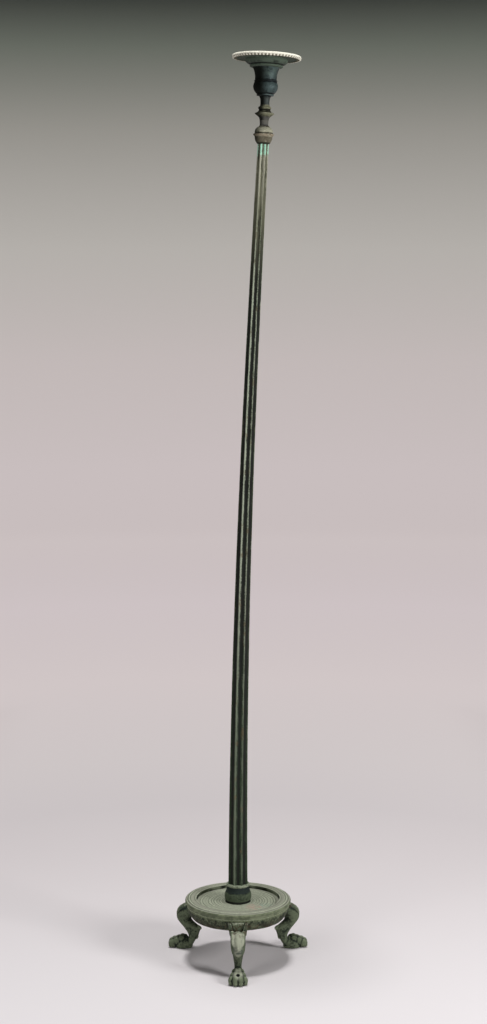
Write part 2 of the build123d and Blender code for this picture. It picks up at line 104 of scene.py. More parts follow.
class ShaftSizes(bpy.types.PropertyGroup):
    """Sizes of the fluted shaft."""

    foot_radius: length("Foot Radius", "Radius over the arrises at the collar", 0.0151)
    head_radius: length("Head Radius", "Radius over the arrises under the crown", 0.0084)
    taper: FloatProperty(
        name="Taper", description="How soon the taper eases off, 1 for a straight one", default=1.25
    )
    head_offset: length("Bend", "How far the shaft's head stands to one side of its foot", 0.0357)
    head_height: length("Head Height", "Height of the shaft's head above the floor", 1.1782)
    head_lean: FloatProperty(
        name="Lean", description="How far the shaft's head leans", default=math.radians(3.3), subtype="ANGLE"
    )
    flutes: IntProperty(name="Flutes", description="Number of hollow flutes", default=8, min=4, max=24)
    flute_depth: FloatProperty(
        name="Flute Depth",
        description="Depth of a flute as a share of the radius",
        default=0.19,
        subtype="FACTOR",
    )


class CrownSizes(bpy.types.PropertyGroup):
    """Sizes of the crown that lifts off the shaft."""

    lean: FloatProperty(
        name="Lean", description="How far the crown leans", default=math.radians(2.3), subtype="ANGLE"
    )
    stem_radius: length("Stem Radius", "Radius of the thin stems between the mouldings", 0.0064)
    bowl_radius: length("Bowl Radius", "Largest radius of the bowl's body", 0.0174)
    mouth_radius: length("Mouth Radius", "Radius of the bowl's flaring mouth", 0.0195)
    plate_radius: length("Plate Radius", "Radius of the plate over its eggs", 0.0485)
    eggs: IntProperty(name="Eggs", description="Number of eggs round the plate's rim", default=60, min=12)


class LegSizes(bpy.types.PropertyGroup):
    """Sizes of the lion's legs."""

    voxel: length("Mesh Size", "Size of the grid that joins a leg's forms into one skin", 0.0007)
    hole_radius: length("Paw Hole", "Radius of the small hole in the front paw", 0.0021)
    hole_reach: length("Hole Reach", "Distance of that hole from the disc's axis", 0.1085)


class PatinaColours(bpy.types.PropertyGroup):
    """Colours of the old bronze."""

    dark_green: colour("Dark Green", "Deep patina in hollows", (0.010, 0.017, 0.009))
    leg_green: colour("Leg Green", "Patina of the legs", (0.115, 0.14, 0.085))
    skirt_green: colour("Skirt Green", "Patina of the skirt and the disc's lip", (0.145, 0.17, 0.098))
    disc_khaki: colour("Disc Khaki", "Patina of the disc's top", (0.27, 0.275, 0.215))
    shaft_arris: colour("Shaft Arris", "Worn arrises of the shaft", (0.42, 0.46, 0.35))
    bowl_slate: colour("Bowl Slate", "Patina of the bowl", (0.062, 0.09, 0.088))
    knop_olive: colour("Knop Olive", "Patina of the knop", (0.40, 0.39, 0.29))
    stem_grey: colour("Stem Grey", "Patina of the stems", (0.075, 0.073, 0.07))
    brown_stain: colour("Brown Stain", "Reddish brown stains", (0.16, 0.075, 0.04))
    pale_crust: colour("Pale Crust", "Pale film on worn and raised places", (0.42, 0.46, 0.34))
    rim_cream: colour("Rim Cream", "Pale crust on the plate's rim", (0.86, 0.83, 0.70))
    mint: colour("Mint", "Bright verdigris at the shaft's head", (0.42, 0.74, 0.56))
    rust: colour("Rust", "Iron rust", (0.10, 0.045, 0.022))


class StageSettings(bpy.types.PropertyGroup):
    """Camera and light."""

    camera_distance: length("Camera Distance", "Distance of the camera from the disc's axis", 2.6087)
    camera_height: length("Camera Height", "Height of the camera above the floor", 0.95675)
    camera_tilt: FloatProperty(
        name="Tilt", description="How far the camera looks down", default=0.1131, subtype="ANGLE"
    )
    camera_turn: FloatProperty(
        name="Turn", description="How far the camera turns to the right", default=0.0031, subtype="ANGLE"
    )
    focal_length: FloatProperty(name="Focal Length", description="Lens in millimetres", default=64.5)
    key_power: watts("Key Light", "Power of the side softbox", 40.0)
    fill_power: watts("Fill Light", "Power of the low fill softbox", 21.0)
    top_power: watts("Top Light", "Power of the overhead softbox", 140.0)
    sweep_radius: length("Floor Radius", "Radius of the flat floor inside the sweep", 5.2)
    wall_radius: length("Wall Radius", "Radius of the upright backdrop", 8.4)
    wall_foot: length("Wall Foot", "Height at which the sweep has become upright", 3.2)
    wall_top: length("Wall Top", "Height of the backdrop's upper edge", 5.5)


SETTINGS = {
    "lamp_base": BaseSizes,
    "lamp_shaft": ShaftSizes,
    "lamp_crown": CrownSizes,
    "lamp_legs": LegSizes,
    "lamp_patina": PatinaColours,
    "lamp_stage": StageSettings,
}


# Modelling helpers


def start_clean():
    """Leaves edit mode and deselects everything, so that the next operator acts on its own piece alone."""
    if bpy.context.mode != "OBJECT":
        bpy.ops.object.mode_set(mode="OBJECT")
    bpy.ops.object.select_all(action="DESELECT")


def pick(piece):
    """Makes this piece the only selected one."""
    start_clean()
    piece.select_set(True)
    bpy.context.view_layer.objects.active = piece


def edit(piece):
    """Opens this piece in edit mode with all of it selected."""
    pick(piece)
    bpy.ops.object.mode_set(mode="EDIT")
    bpy.ops.mesh.select_all(action="SELECT")


def settle(piece):
    """Applies place, turn and scale to the mesh."""
    pick(piece)
    bpy.ops.object.transform_apply(location=True, rotation=True, scale=True)


def finish_with(piece, kind, **values):
    """Adds a modifier of this kind with these values and applies it."""
    pick(piece)
    modifier = piece.modifiers.new(kind.title(), kind)
    for name, value in values.items():
        setattr(modifier, name, value)
    bpy.ops.object.modifier_apply(modifier=modifier.name)


def join(pieces, name):
    """Joins several pieces into the first one."""
    pick(pieces[0])
    for piece in pieces:
        piece.select_set(True)
    bpy.ops.object.join()
    pieces[0].name = name
    pieces[0].data.name = name
    return pieces[0]


def smooth(piece, angle=35.0):
    """Shades the piece smooth except over sharp edges."""
    pick(piece)
    bpy.ops.object.shade_smooth_by_angle(angle=math.radians(angle))


def arc(start, through, end, steps):
    """Points along the arc through three profile points."""
    (ax, ay), (bx, by), (cx, cy) = start, through, end
    d = 2 * (ax * (by - cy) + bx * (cy - ay) + cx * (ay - by))
    if abs(d) < 1e-6:
        return [start, through, end]
    a, b, c = (x * x + y * y for x, y in (start, through, end))
    ux = (a * (by - cy) + b * (cy - ay) + c * (ay - by)) / d
    uy = (a * (cx - bx) + b * (ax - cx) + c * (bx - ax)) / d
    radius = math.hypot(ax - ux, ay - uy)
    first = math.atan2(ay - uy, ax - ux)
    middle = (math.atan2(by - uy, bx - ux) - first) % math.tau
    last = (math.atan2(cy - uy, cx - ux) - first) % math.tau
    sweep = last if middle < last else last - math.tau
    turns = [first + sweep * step / steps for step in range(steps + 1)]
    return [(ux + radius * math.cos(turn), uy + radius * math.sin(turn)) for turn in turns]


def grooves(radii, level, depth=0.35, half_width=0.55):
    """Profile points of rings cut in a flat face that runs inwards or outwards along these radii."""
    points = []
    for radius in radii:
        side = half_width if radii[-1] > radii[0] else -half_width
        points += [(radius - side, level), (radius, level - depth), (radius + side, level)]
    return points


def turned(name, profile, closed, sides=128):
    """A turned piece: a ring is extruded from point to point of a profile given in millimetres.

    A closed profile comes back to its start, as on a ring with a bore. Otherwise both ends are capped.
    """
    start_clean()
    radius, level = (value * MM for value in profile[0])
    bpy.ops.mesh.primitive_circle_add(vertices=sides, radius=radius, location=(0, 0, level))
    piece = bpy.context.object
    piece.name = piece.data.name = name
    settle(piece)
    edit(piece)
    for point in profile[1:]:
        new_radius, new_level = (value * MM for value in point)
        rise = {"value": (0, 0, new_level - level)}
        bpy.ops.mesh.extrude_edges_move(TRANSFORM_OT_translate=rise)
        spread = new_radius / radius
        bpy.ops.transform.resize(value=(spread, spread, 1), center_override=(0, 0, new_level))
        radius, level = new_radius, new_level
    bpy.ops.mesh.select_all(action="SELECT")
    if closed:
        bpy.ops.mesh.region_to_loop()
        bpy.ops.mesh.bridge_edge_loops()
    else:
        bpy.ops.mesh.fill_holes(sides=0)
    bpy.ops.mesh.select_all(action="SELECT")
    bpy.ops.mesh.normals_make_consistent(inside=False)
    bpy.ops.object.mode_set(mode="OBJECT")
    return piece


def on_crown(piece):
    """Moves a piece turned on the world's axis to the crown's axis, on the shaft's head."""
    shaft = bpy.context.scene.lamp_shaft
    piece.rotation_euler = (0, bpy.context.scene.lamp_crown.lean, 0)
    piece.location = (shaft.head_offset, 0, shaft.head_height)
    settle(piece)
    return piece


def soften(piece, width):
    """Rounds the piece's sharp edges over, as old cast edges are. The width is in millimetres."""
    finish_with(
        piece,
        "BEVEL",
        width=width * MM,
        segments=2,
        limit_method="ANGLE",
        angle_limit=math.radians(32),
        use_clamp_overlap=True,
    )


def roughen(piece, strength, size):
    """Moves the surface in and out a little, as casting and corrosion leave it. Sizes are in millimetres."""
    cast = bpy.data.textures.new(piece.name + "_cast", type="CLOUDS")
    cast.noise_scale = size * MM
    cast.noise_depth = 2
    finish_with(piece, "DISPLACE", texture=cast, texture_coords="LOCAL", strength=strength * MM)


def store(piece, name, values):
    """Stores a value on each point of the piece's mesh."""
    attribute = piece.data.attributes.new(name, "FLOAT", "POINT")
    attribute.data.foreach_set("value", np.asarray(values, dtype=np.float32))


def points_of(piece):
    """The piece's points as rows of X, Y and Z."""
    place = np.empty(len(piece.data.vertices) * 3)
    piece.data.vertices.foreach_get("co", place)
    return place.reshape(-1, 3)


def mark_wear(piece, reach=3.0, rounds=4, gain=0.5):
    """Stores how far each point stands out: about 1 on ridges, 0.5 on plain stretches and 0 in hollows."""
    mesh = piece.data
    count = len(mesh.vertices)
    place = points_of(piece)
    outward = np.empty(count * 3)
    mesh.vertex_normals.foreach_get("vector", outward)
    outward = outward.reshape(-1, 3)
    ends = np.empty(len(mesh.edges) * 2, dtype=np.int32)
    mesh.edges.foreach_get("vertices", ends)
    first, second = ends.reshape(-1, 2).T
    step = place[second] - place[first]
    gap = np.maximum((step**2).sum(1), 1e-12)
    bend = np.zeros(count)
    np.add.at(bend, first, -(outward[first] * step).sum(1) / gap)
    np.add.at(bend, second, (outward[second] * step).sum(1) / gap)
    links = np.zeros(count)
    np.add.at(links, first, 1)
    np.add.at(links, second, 1)
    links = np.maximum(links, 1)
    bend = np.clip(bend / links * reach * MM, -1, 1)
    for _ in range(rounds):
        near = np.zeros(count)
        np.add.at(near, first, bend[second])
        np.add.at(near, second, bend[first])
        bend = bend * 0.5 + near / links * 0.5
    store(piece, "wear", np.clip(0.5 + bend * gain, 0, 1))


def age(piece, edge, strength, size, reach):
    """Softens edges, roughens the skin, shades it smooth and marks its wear. Sizes are in millimetres."""
    soften(piece, edge)
    roughen(piece, strength, size)
    smooth(piece)
    mark_wear(piece, reach)


def paint(piece, finish):
    """Gives the piece this finish and no other."""
    piece.data.materials.clear()
    piece.data.materials.append(finish_of(finish))


def hand_over(piece, body, finish, node):
    """Gives a finished piece its material and its CAD body, and hides the CAD part that it stands for."""
    paint(piece, finish)
    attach(piece, body)
    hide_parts(node)


# Materials

# Tints that several finishes share, in linear light
# The first tint is near black, for painted shade: the crown's shaded side, the disc's recess wall and the
# collar's foot.
SHADE_BLACK = (0.004, 0.005, 0.003)
UMBER = (0.30, 0.28, 0.19)


def input_socket(group, name, kind, default):
    """Adds a named input to a node group."""
    socket = group.interface.new_socket(name=name, in_out="INPUT", socket_type=kind)
    socket.default_value = default


def noise(tree, coordinates, scale, detail, roughness=0.55, distortion=0.0):
    """A noise node's value on these coordinates."""
    node = tree.nodes.new("ShaderNodeTexNoise")
    node.inputs["Scale"].default_value = scale
    node.inputs["Detail"].default_value = detail
    node.inputs["Roughness"].default_value = roughness
    node.inputs["Distortion"].default_value = distortion
    tree.links.new(coordinates, node.inputs["Vector"])
    return node.outputs["Fac"]


def feed(tree, source, target):
    """Links a socket, or writes a number, into another socket."""
    if isinstance(source, (int, float)):
        target.default_value = source
    else:
        tree.links.new(source, target)


def sums(tree, operation, first, second):
    """A Math node's value."""
    node = tree.nodes.new("ShaderNodeMath")
    node.operation = operation
    feed(tree, first, node.inputs[0])
    feed(tree, second, node.inputs[1])
    return node.outputs[0]


def band(tree, value, low, high, start=0.0, end=1.0):
    """Maps a value from low..high to start..end, smoothly and clamped."""
    node = tree.nodes.new("ShaderNodeMapRange")
    node.interpolation_type = "SMOOTHSTEP"
    tree.links.new(value, node.inputs["Value"])
    feed(tree, low, node.inputs["From Min"])
    feed(tree, high, node.inputs["From Max"])
    feed(tree, start, node.inputs["To Min"])
    feed(tree, end, node.inputs["To Max"])
    return node.outputs["Result"]


def mixed(tree, share, under, over):
    """A colour mixed from two others by a mask."""
    node = tree.nodes.new("ShaderNodeMix")
    node.data_type = "RGBA"
    node.clamp_factor = True
    feed(tree, share, node.inputs["Factor"])
    for source, target in ((under, node.inputs["A"]), (over, node.inputs["B"])):
        if isinstance(source, bpy.types.NodeSocket):
            tree.links.new(source, target)
        else:
            target.default_value = (*source[:3], 1.0)
    return node.outputs["Result"]


def place_of(tree):
    """The object coordinates of a material, as one vector."""
    return tree.nodes.new("ShaderNodeTexCoord").outputs["Object"]


def split_up(tree, vector):
    """The X, Y and Z of a vector."""
    split = tree.nodes.new("ShaderNodeSeparateXYZ")
    tree.links.new(vector, split.inputs["Vector"])
    return split.outputs


def vectors(tree, operation, first, second):
    """A Vector Math node with a linked first vector and a fixed second one."""
    node = tree.nodes.new("ShaderNodeVectorMath")
    node.operation = operation
    tree.links.new(first, node.inputs[0])
    node.inputs[1].default_value = second
    return node


def distance_from(tree, point, flatten=(1, 1, 1)):
    """Distance from a point, counted only along the axes that flatten leaves."""
    flat = vectors(tree, "MULTIPLY", place_of(tree), flatten).outputs["Vector"]
    return vectors(tree, "DISTANCE", flat, point).outputs["Value"]


def crown_height(tree):
    """Height along the crown's leaning axis, from the shaft's head."""
    shaft = bpy.context.scene.lamp_shaft
    lean = bpy.context.scene.lamp_crown.lean
    moved = vectors(tree, "SUBTRACT", place_of(tree), (shaft.head_offset, 0, shaft.head_height))
    along = vectors(tree, "DOT_PRODUCT", moved.outputs["Vector"], (math.sin(lean), 0, math.cos(lean)))
    return along.outputs["Value"]


def stored(tree, name):
    """A value that the mesh stores on its points."""
    node = tree.nodes.new("ShaderNodeAttribute")
    node.attribute_name = name
    return node.outputs["Fac"]


def facing(tree, axis):
    """How far the surface faces along the X, Y or Z axis, from -1 to 1."""
    return split_up(tree, tree.nodes.new("ShaderNodeNewGeometry").outputs["Normal"])[axis]


def between(tree, value, low, high, edge):
    """A mask that is 1 between two values and fades over an edge outside them."""
    rise = band(tree, value, low - edge, low)
    fall = band(tree, value, high, high + edge, 1.0, 0.0)
    return sums(tree, "MULTIPLY", rise, fall)


def patina_group():
    """Old bronze: mottled film over a dark ground, pale crust on what stands out, specks of verdigris."""
    group = bpy.data.node_groups.get("Bronze Patina")
    if group:
        return group
    group = bpy.data.node_groups.new("Bronze Patina", "ShaderNodeTree")
    input_socket(group, "Place", "NodeSocketVector", (0, 0, 0))
    input_socket(group, "Wear", "NodeSocketFloat", 0.5)
    input_socket(group, "Upward", "NodeSocketFloat", 0.0)
    input_socket(group, "Ground", "NodeSocketColor", (0.02, 0.03, 0.02, 1))
    input_socket(group, "Film", "NodeSocketColor", (0.1, 0.13, 0.08, 1))
    input_socket(group, "Crust", "NodeSocketColor", (0.4, 0.45, 0.35, 1))
    input_socket(group, "Speck", "NodeSocketColor", (0.08, 0.26, 0.18, 1))
    input_socket(group, "Film Share", "NodeSocketFloat", 0.6)
    input_socket(group, "Crust Share", "NodeSocketFloat", 0.3)
    input_socket(group, "Speck Share", "NodeSocketFloat", 0.2)
    input_socket(group, "Polish", "NodeSocketFloat", 0.0)
    for name, kind in (("Colour", "Color"), ("Roughness", "Float"), ("Height", "Float")):
        group.interface.new_socket(name=name, in_out="OUTPUT", socket_type="NodeSocket" + kind)
    entry = group.nodes.new("NodeGroupInput")
    leave = group.nodes.new("NodeGroupOutput")
    place = entry.outputs["Place"]
    patches = noise(group, place, 62.0, 6.0, 0.66, 0.4)
    mottle = noise(group, place, 300.0, 5.0, 0.66)
    grain = noise(group, place, 1500.0, 4.0, 0.65)
    blotch = sums(group, "ADD", sums(group, "MULTIPLY", patches, 0.5), sums(group, "MULTIPLY", mottle, 0.5))
    relief = sums(group, "MULTIPLY", sums(group, "SUBTRACT", entry.outputs["Wear"], 0.5), 0.9)
    film = sums(group, "ADD", blotch, relief)
    film_from = sums(group, "SUBTRACT", 0.74, sums(group, "MULTIPLY", entry.outputs["Film Share"], 0.5))
    film_mask = band(group, film, film_from, sums(group, "ADD", film_from, 0.22))
    colour_now = mixed(group, film_mask, entry.outputs["Ground"], entry.outputs["Film"])
    lift = sums(group, "MULTIPLY", entry.outputs["Upward"], 0.12)
    raised = sums(group, "ADD", sums(group, "MULTIPLY", relief, 1.3), lift)
    fine = sums(group, "ADD", sums(group, "MULTIPLY", mottle, 0.6), sums(group, "MULTIPLY", grain, 0.4))
    crust = sums(group, "ADD", fine, raised)
    crust_from = sums(group, "SUBTRACT", 0.95, sums(group, "MULTIPLY", entry.outputs["Crust Share"], 0.6))
    crust_mask = band(group, crust, crust_from, sums(group, "ADD", crust_from, 0.28))
    colour_now = mixed(group, sums(group, "MULTIPLY", crust_mask, 0.85), colour_now, entry.outputs["Crust"])
    specks = noise(group, place, 150.0, 3.0, 0.7, 1.2)
    speck_from = sums(group, "SUBTRACT", 0.78, sums(group, "MULTIPLY", entry.outputs["Speck Share"], 0.3))
    speck_mask = band(group, specks, speck_from, sums(group, "ADD", speck_from, 0.07))
    colour_now = mixed(group, sums(group, "MULTIPLY", speck_mask, 0.7), colour_now, entry.outputs["Speck"])
    hollow = band(group, entry.outputs["Wear"], 0.1, 0.46, 0.3, 1.0)
    pits = band(group, grain, 0.3, 0.52, 0.55, 1.0)
    shade = group.nodes.new("ShaderNodeMix")
    shade.data_type = "RGBA"
    shade.blend_type = "MULTIPLY"
    shade.inputs["Factor"].default_value = 1.0
    group.links.new(colour_now, shade.inputs["A"])
    group.links.new(sums(group, "MULTIPLY", hollow, pits), shade.inputs["B"])
    group.links.new(shade.outputs["Result"], leave.inputs["Colour"])
    gloss = sums(group, "ADD", band(group, crust, 0.3, 0.9, 0.72, 0.9), sums(group, "MULTIPLY", grain, 0.1))
    gloss = sums(group, "SUBTRACT", gloss, sums(group, "MULTIPLY", entry.outputs["Polish"], 0.4))
    group.links.new(gloss, leave.inputs["Roughness"])
    height = sums(group, "ADD", sums(group, "MULTIPLY", mottle, 0.55), sums(group, "MULTIPLY", grain, 0.3))
    height = sums(group, "ADD", height, sums(group, "MULTIPLY", crust_mask, 0.35))
    group.links.new(height, leave.inputs["Height"])
    return group


def bronze(name, tints, shares, metallic=0.05, stretch=(1, 1, 1), bump=0.6, polish=0.0):
    """A bronze material with its own tints of ground, film and crust.

    The shares say how much film, crust and specks of verdigris lie on it.
    """
    material = bpy.data.materials.new(name)
    material.use_nodes = True
    tree = material.node_tree
    shader = tree.nodes["Principled BSDF"]
    shader.inputs["Metallic"].default_value = metallic
    shader.inputs["Specular IOR Level"].default_value = 0.3
    patina = tree.nodes.new("ShaderNodeGroup")
    patina.node_tree = patina_group()
    mapping = tree.nodes.new("ShaderNodeMapping")
    mapping.inputs["Scale"].default_value = stretch
    tree.links.new(place_of(tree), mapping.inputs["Vector"])
    tree.links.new(mapping.outputs["Vector"], patina.inputs["Place"])
    tree.links.new(stored(tree, "wear"), patina.inputs["Wear"])
    tree.links.new(facing(tree, "Z"), patina.inputs["Upward"])
    for key, tint in zip(("Ground", "Film", "Crust"), tints):
        patina.inputs[key].default_value = (*tint, 1.0)
    for key, share in zip(("Film Share", "Crust Share", "Speck Share"), shares):
        patina.inputs[key].default_value = share
    patina.inputs["Polish"].default_value = polish
    tree.links.new(patina.outputs["Colour"], shader.inputs["Base Color"])
    tree.links.new(patina.outputs["Roughness"], shader.inputs["Roughness"])
    bumps = tree.nodes.new("ShaderNodeBump")
    bumps.inputs["Strength"].default_value = bump
    bumps.inputs["Distance"].default_value = 0.0006
    tree.links.new(patina.outputs["Height"], bumps.inputs["Height"])
    tree.links.new(bumps.outputs["Normal"], shader.inputs["Normal"])
    return material


def around_zero(tree, value, reach):
    """A noise value spread on both sides of zero."""
    return sums(tree, "MULTIPLY", sums(tree, "SUBTRACT", value, 0.5), reach)


def patchy(tree, mask, scale, low=0.42, high=0.6, detail=4.0):
    """Breaks a mask up by noise."""
    spots = band(tree, noise(tree, place_of(tree), scale, detail, 0.6), low, high)
    return sums(tree, "MULTIPLY", mask, spots)


def tint_over(material, mask, tint, strength=1.0):
    """Lays one more colour over a material's base colour, where a mask says."""
    tree = material.node_tree
    socket = tree.nodes["Principled BSDF"].inputs["Base Color"]
    under = socket.links[0].from_socket
    share = sums(tree, "MULTIPLY", mask, strength)
    tree.links.new(mixed(tree, share, under, tint), socket)


def paint_shaded_side(material, strength, full, unshaded):
    """Paints shade on the side of a crown piece that faces away from the bend and the side softbox: blackens
    and dulls it.
    """
    tree = material.node_tree
    side = band(tree, facing(tree, "X"), full, unshaded, 1.0, 0.0)
    shader = tree.nodes["Principled BSDF"]
    shader.inputs["Specular IOR Level"].default_value = 0.15
    rough = shader.inputs["Roughness"].links[0].from_socket
    matt = sums(tree, "MAXIMUM", rough, sums(tree, "MULTIPLY", side, 0.95))
    tree.links.new(matt, shader.inputs["Roughness"])
    tint_over(material, side, SHADE_BLACK, strength)


def finish_of(name):
    """The finish of this name, made on its first use."""
    return bpy.data.materials.get(name) or FINISHES[name]()


def disc_finish():
    """Khaki grey patina with turning marks, a pink and a turquoise stain, and a recess wall painted dark as
    shade.
    """
    patina = bpy.context.scene.lamp_patina
    sizes = bpy.context.scene.lamp_base
    tints = (patina.leg_green, patina.disc_khaki, patina.pale_crust)
    material = bronze("disc_patina", tints, (0.95, 0.3, 0.03), 0.02)
    tree = material.node_tree
    radius = distance_from(tree, (0, 0, 0), (1, 1, 0))
    spread = tree.nodes.new("ShaderNodeCombineXYZ")
    tree.links.new(radius, spread.inputs["X"])
    rings = noise(tree, spread.outputs["Vector"], 620.0, 2.0, 0.6)
    tint_over(material, band(tree, rings, 0.5, 0.62), patina.leg_green, 0.42)
    tint_over(material, band(tree, rings, 0.46, 0.36), patina.pale_crust, 0.3)
    pink = band(tree, distance_from(tree, (0.026, -0.030, sizes.disc_top)), 0.012, 0.02, 1.0, 0.0)
    pink_stain = (0.42, 0.27, 0.22)
    tint_over(material, patchy(tree, pink, 190.0), pink_stain, 0.5)
    blue = band(tree, distance_from(tree, (0.040, -0.022, sizes.disc_top)), 0.006, 0.014, 1.0, 0.0)
    turquoise_stain = (0.16, 0.36, 0.30)
    tint_over(material, patchy(tree, blue, 260.0), turquoise_stain, 0.5)
    level = split_up(tree, place_of(tree))["Z"]
    side = band(tree, level, sizes.disc_top - 0.0019, sizes.disc_top - 0.0011, 1.0, 0.0)
    outside = band(tree, radius, sizes.disc_radius - 0.004, sizes.disc_radius - 0.0035)
    lip = sums(tree, "MULTIPLY", side, outside)
    tint_over(material, lip, patina.skirt_green, 0.9)
    tint_over(material, patchy(tree, lip, 110.0, 0.4, 0.6), patina.dark_green, 0.45)
    # Painted shade: the recess wall is tinted dark green and patchy black.
    wall = between(tree, radius, sizes.recess_radius - 0.0008, sizes.recess_radius + 0.0006, 0.0003)
    deep = band(tree, level, sizes.disc_top - 0.0008, sizes.disc_top - 0.0003, 1.0, 0.0)
    dark = sums(tree, "MULTIPLY", wall, deep)
    tint_over(material, dark, patina.leg_green, 0.6)
    tint_over(material, patchy(tree, dark, 26.0, 0.44, 0.54, 2.0), SHADE_BLACK, 0.95)
    return material


def skirt_finish():
    """Khaki green patina with brown and black mottling on its lower half."""
    patina = bpy.context.scene.lamp_patina
    sizes = bpy.context.scene.lamp_base
    tints = (patina.dark_green, patina.skirt_green, patina.pale_crust)
    material = bronze("skirt_patina", tints, (0.62, 0.26, 0.08))
    tree = material.node_tree
    low = sizes.skirt_bottom
    level = split_up(tree, place_of(tree))["Z"]
    lower = band(tree, level, low + 0.004, low + 0.014, 1.0, 0.15)
    black_brown = (0.02, 0.016, 0.007)
    tint_over(material, patchy(tree, lower, 85.0, 0.42, 0.56), black_brown, 0.92)
    tint_over(material, patchy(tree, lower, 200.0, 0.58, 0.66), patina.brown_stain, 0.4)
    return material


def leg_finish():
    """Green patina, dark in the hollows, with a pale crust on knees and paws, and painted shade under the
    knee, under the disc's lip and in the paw's hole.
    """
    patina = bpy.context.scene.lamp_patina
    tints = (patina.dark_green, patina.leg_green, patina.pale_crust)
    material = bronze("leg_patina", tints, (0.66, 0.16, 0.08))
    tree = material.node_tree
    knee_crust = (0.32, 0.335, 0.255)
    tint_over(material, patchy(tree, stored(tree, "pale"), 170.0, 0.18, 0.5), knee_crust, 0.82)
    # The dark marks are painted shade: under the knee, on the wings under the disc's lip and in the paw's
    # hole.
    dark = stored(tree, "dark")
    blue_green = (0.016, 0.03, 0.024)
    tint_over(material, patchy(tree, dark, 150.0, 0.3, 0.6), blue_green, 0.85)
    # Painted shade: the inside of the paw's hole is black.
    hole_black = (0.001, 0.001, 0.001)
    tint_over(material, band(tree, dark, 1.4, 1.8), hole_black)
    # Painted shadow of the disc's lip: the legs' tops are tinted dark brown in patches.
    haunch = band(tree, split_up(tree, place_of(tree))["Z"], 0.062, 0.068)
    brown = (0.05, 0.03, 0.014)
    tint_over(material, patchy(tree, haunch, 160.0, 0.46, 0.6), brown, 0.7)
    return material


def collar_finish():
    """Olive band and pale torus over a dark groove, with the foot painted black as shadow where it stands on
    the disc.
    """
    patina = bpy.context.scene.lamp_patina
    sizes = bpy.context.scene.lamp_base
    tints = (patina.dark_green, (0.075, 0.098, 0.058), patina.pale_crust)
    material = bronze("collar_patina", tints, (0.7, 0.12, 0.05))
    tree = material.node_tree
    level = split_up(tree, place_of(tree))["Z"]
    top = sizes.collar_top
    torus = between(tree, level, top - 0.0039, top, 0.0004)
    torus_crust = (0.27, 0.30, 0.215)
    tint_over(material, patchy(tree, torus, 320.0, 0.34, 0.5), torus_crust, 0.8)
    groove = between(tree, level, top - 0.0115, top - 0.0046, 0.0008)
    tint_over(material, groove, (0.008, 0.015, 0.016), 0.8)
    # Painted shadow where the collar's foot stands on the disc.
    foot = band(tree, level, top - 0.0245, top - 0.0235, 1.0, 0.0)
    tint_over(material, foot, SHADE_BLACK, 0.95)
    return material


def shaft_finish():
    """Nearly black flutes, worn khaki arrises that darken downwards, and mint verdigris at the head."""
    patina = bpy.context.scene.lamp_patina
    shaft = bpy.context.scene.lamp_shaft
    tints = ((0.005, 0.007, 0.004), (0.022, 0.032, 0.016), (0.05, 0.065, 0.04))
    material = bronze("shaft_patina", tints, (0.6, 0.1, 0.04), 0.02, (1, 1, 0.3))
    tree = material.node_tree
    level = split_up(tree, place_of(tree))["Z"]
    long_place = vectors(tree, "MULTIPLY", place_of(tree), (1, 1, 0.12)).outputs["Vector"]
    streaks = noise(tree, long_place, 330.0, 5.0, 0.7)
    crumbs = noise(tree, place_of(tree), 620.0, 3.0, 0.6)
    worn = sums(tree, "ADD", stored(tree, "arris"), around_zero(tree, streaks, 0.9))
    worn = sums(tree, "ADD", worn, around_zero(tree, crumbs, 0.7))
    height = band(tree, level, 0.28, 0.75, 0.42, 0.92)
    pale = sums(tree, "MULTIPLY", band(tree, worn, 0.5, 0.86), height)
    tint_over(material, pale, patina.shaft_arris)
    low = band(tree, level, 0.2, 0.6, 0.5, 0.0)
    low = sums(tree, "MULTIPLY", low, band(tree, worn, 0.2, 0.5))
    low_green = (0.03, 0.055, 0.026)
    tint_over(material, low, low_green)
    stained = patchy(tree, band(tree, worn, 0.35, 0.7), 75.0, 0.56, 0.66)
    brown = (0.13, 0.085, 0.045)
    tint_over(material, stained, brown, 0.6)
    flutes = sums(tree, "MULTIPLY", band(tree, level, 0.97, 1.12), band(tree, streaks, 0.3, 0.5))
    flute_khaki = (0.15, 0.15, 0.095)
    tint_over(material, flutes, flute_khaki, 0.85)
    ridges = sums(tree, "MULTIPLY", band(tree, level, 1.06, 1.16), band(tree, worn, 0.25, 0.6))
    ridge_khaki = (0.46, 0.45, 0.35)
    tint_over(material, ridges, ridge_khaki, 0.85)
    ragged = around_zero(tree, noise(tree, place_of(tree), 230.0, 3.0), 0.016)
    head = sums(tree, "ADD", level, ragged)
    head = band(tree, head, shaft.head_height - 0.0175, shaft.head_height - 0.0125)
    mint = sums(tree, "MULTIPLY", head, band(tree, worn, 0.3, 0.5))
    tint_over(material, mint, patina.mint)
    return material


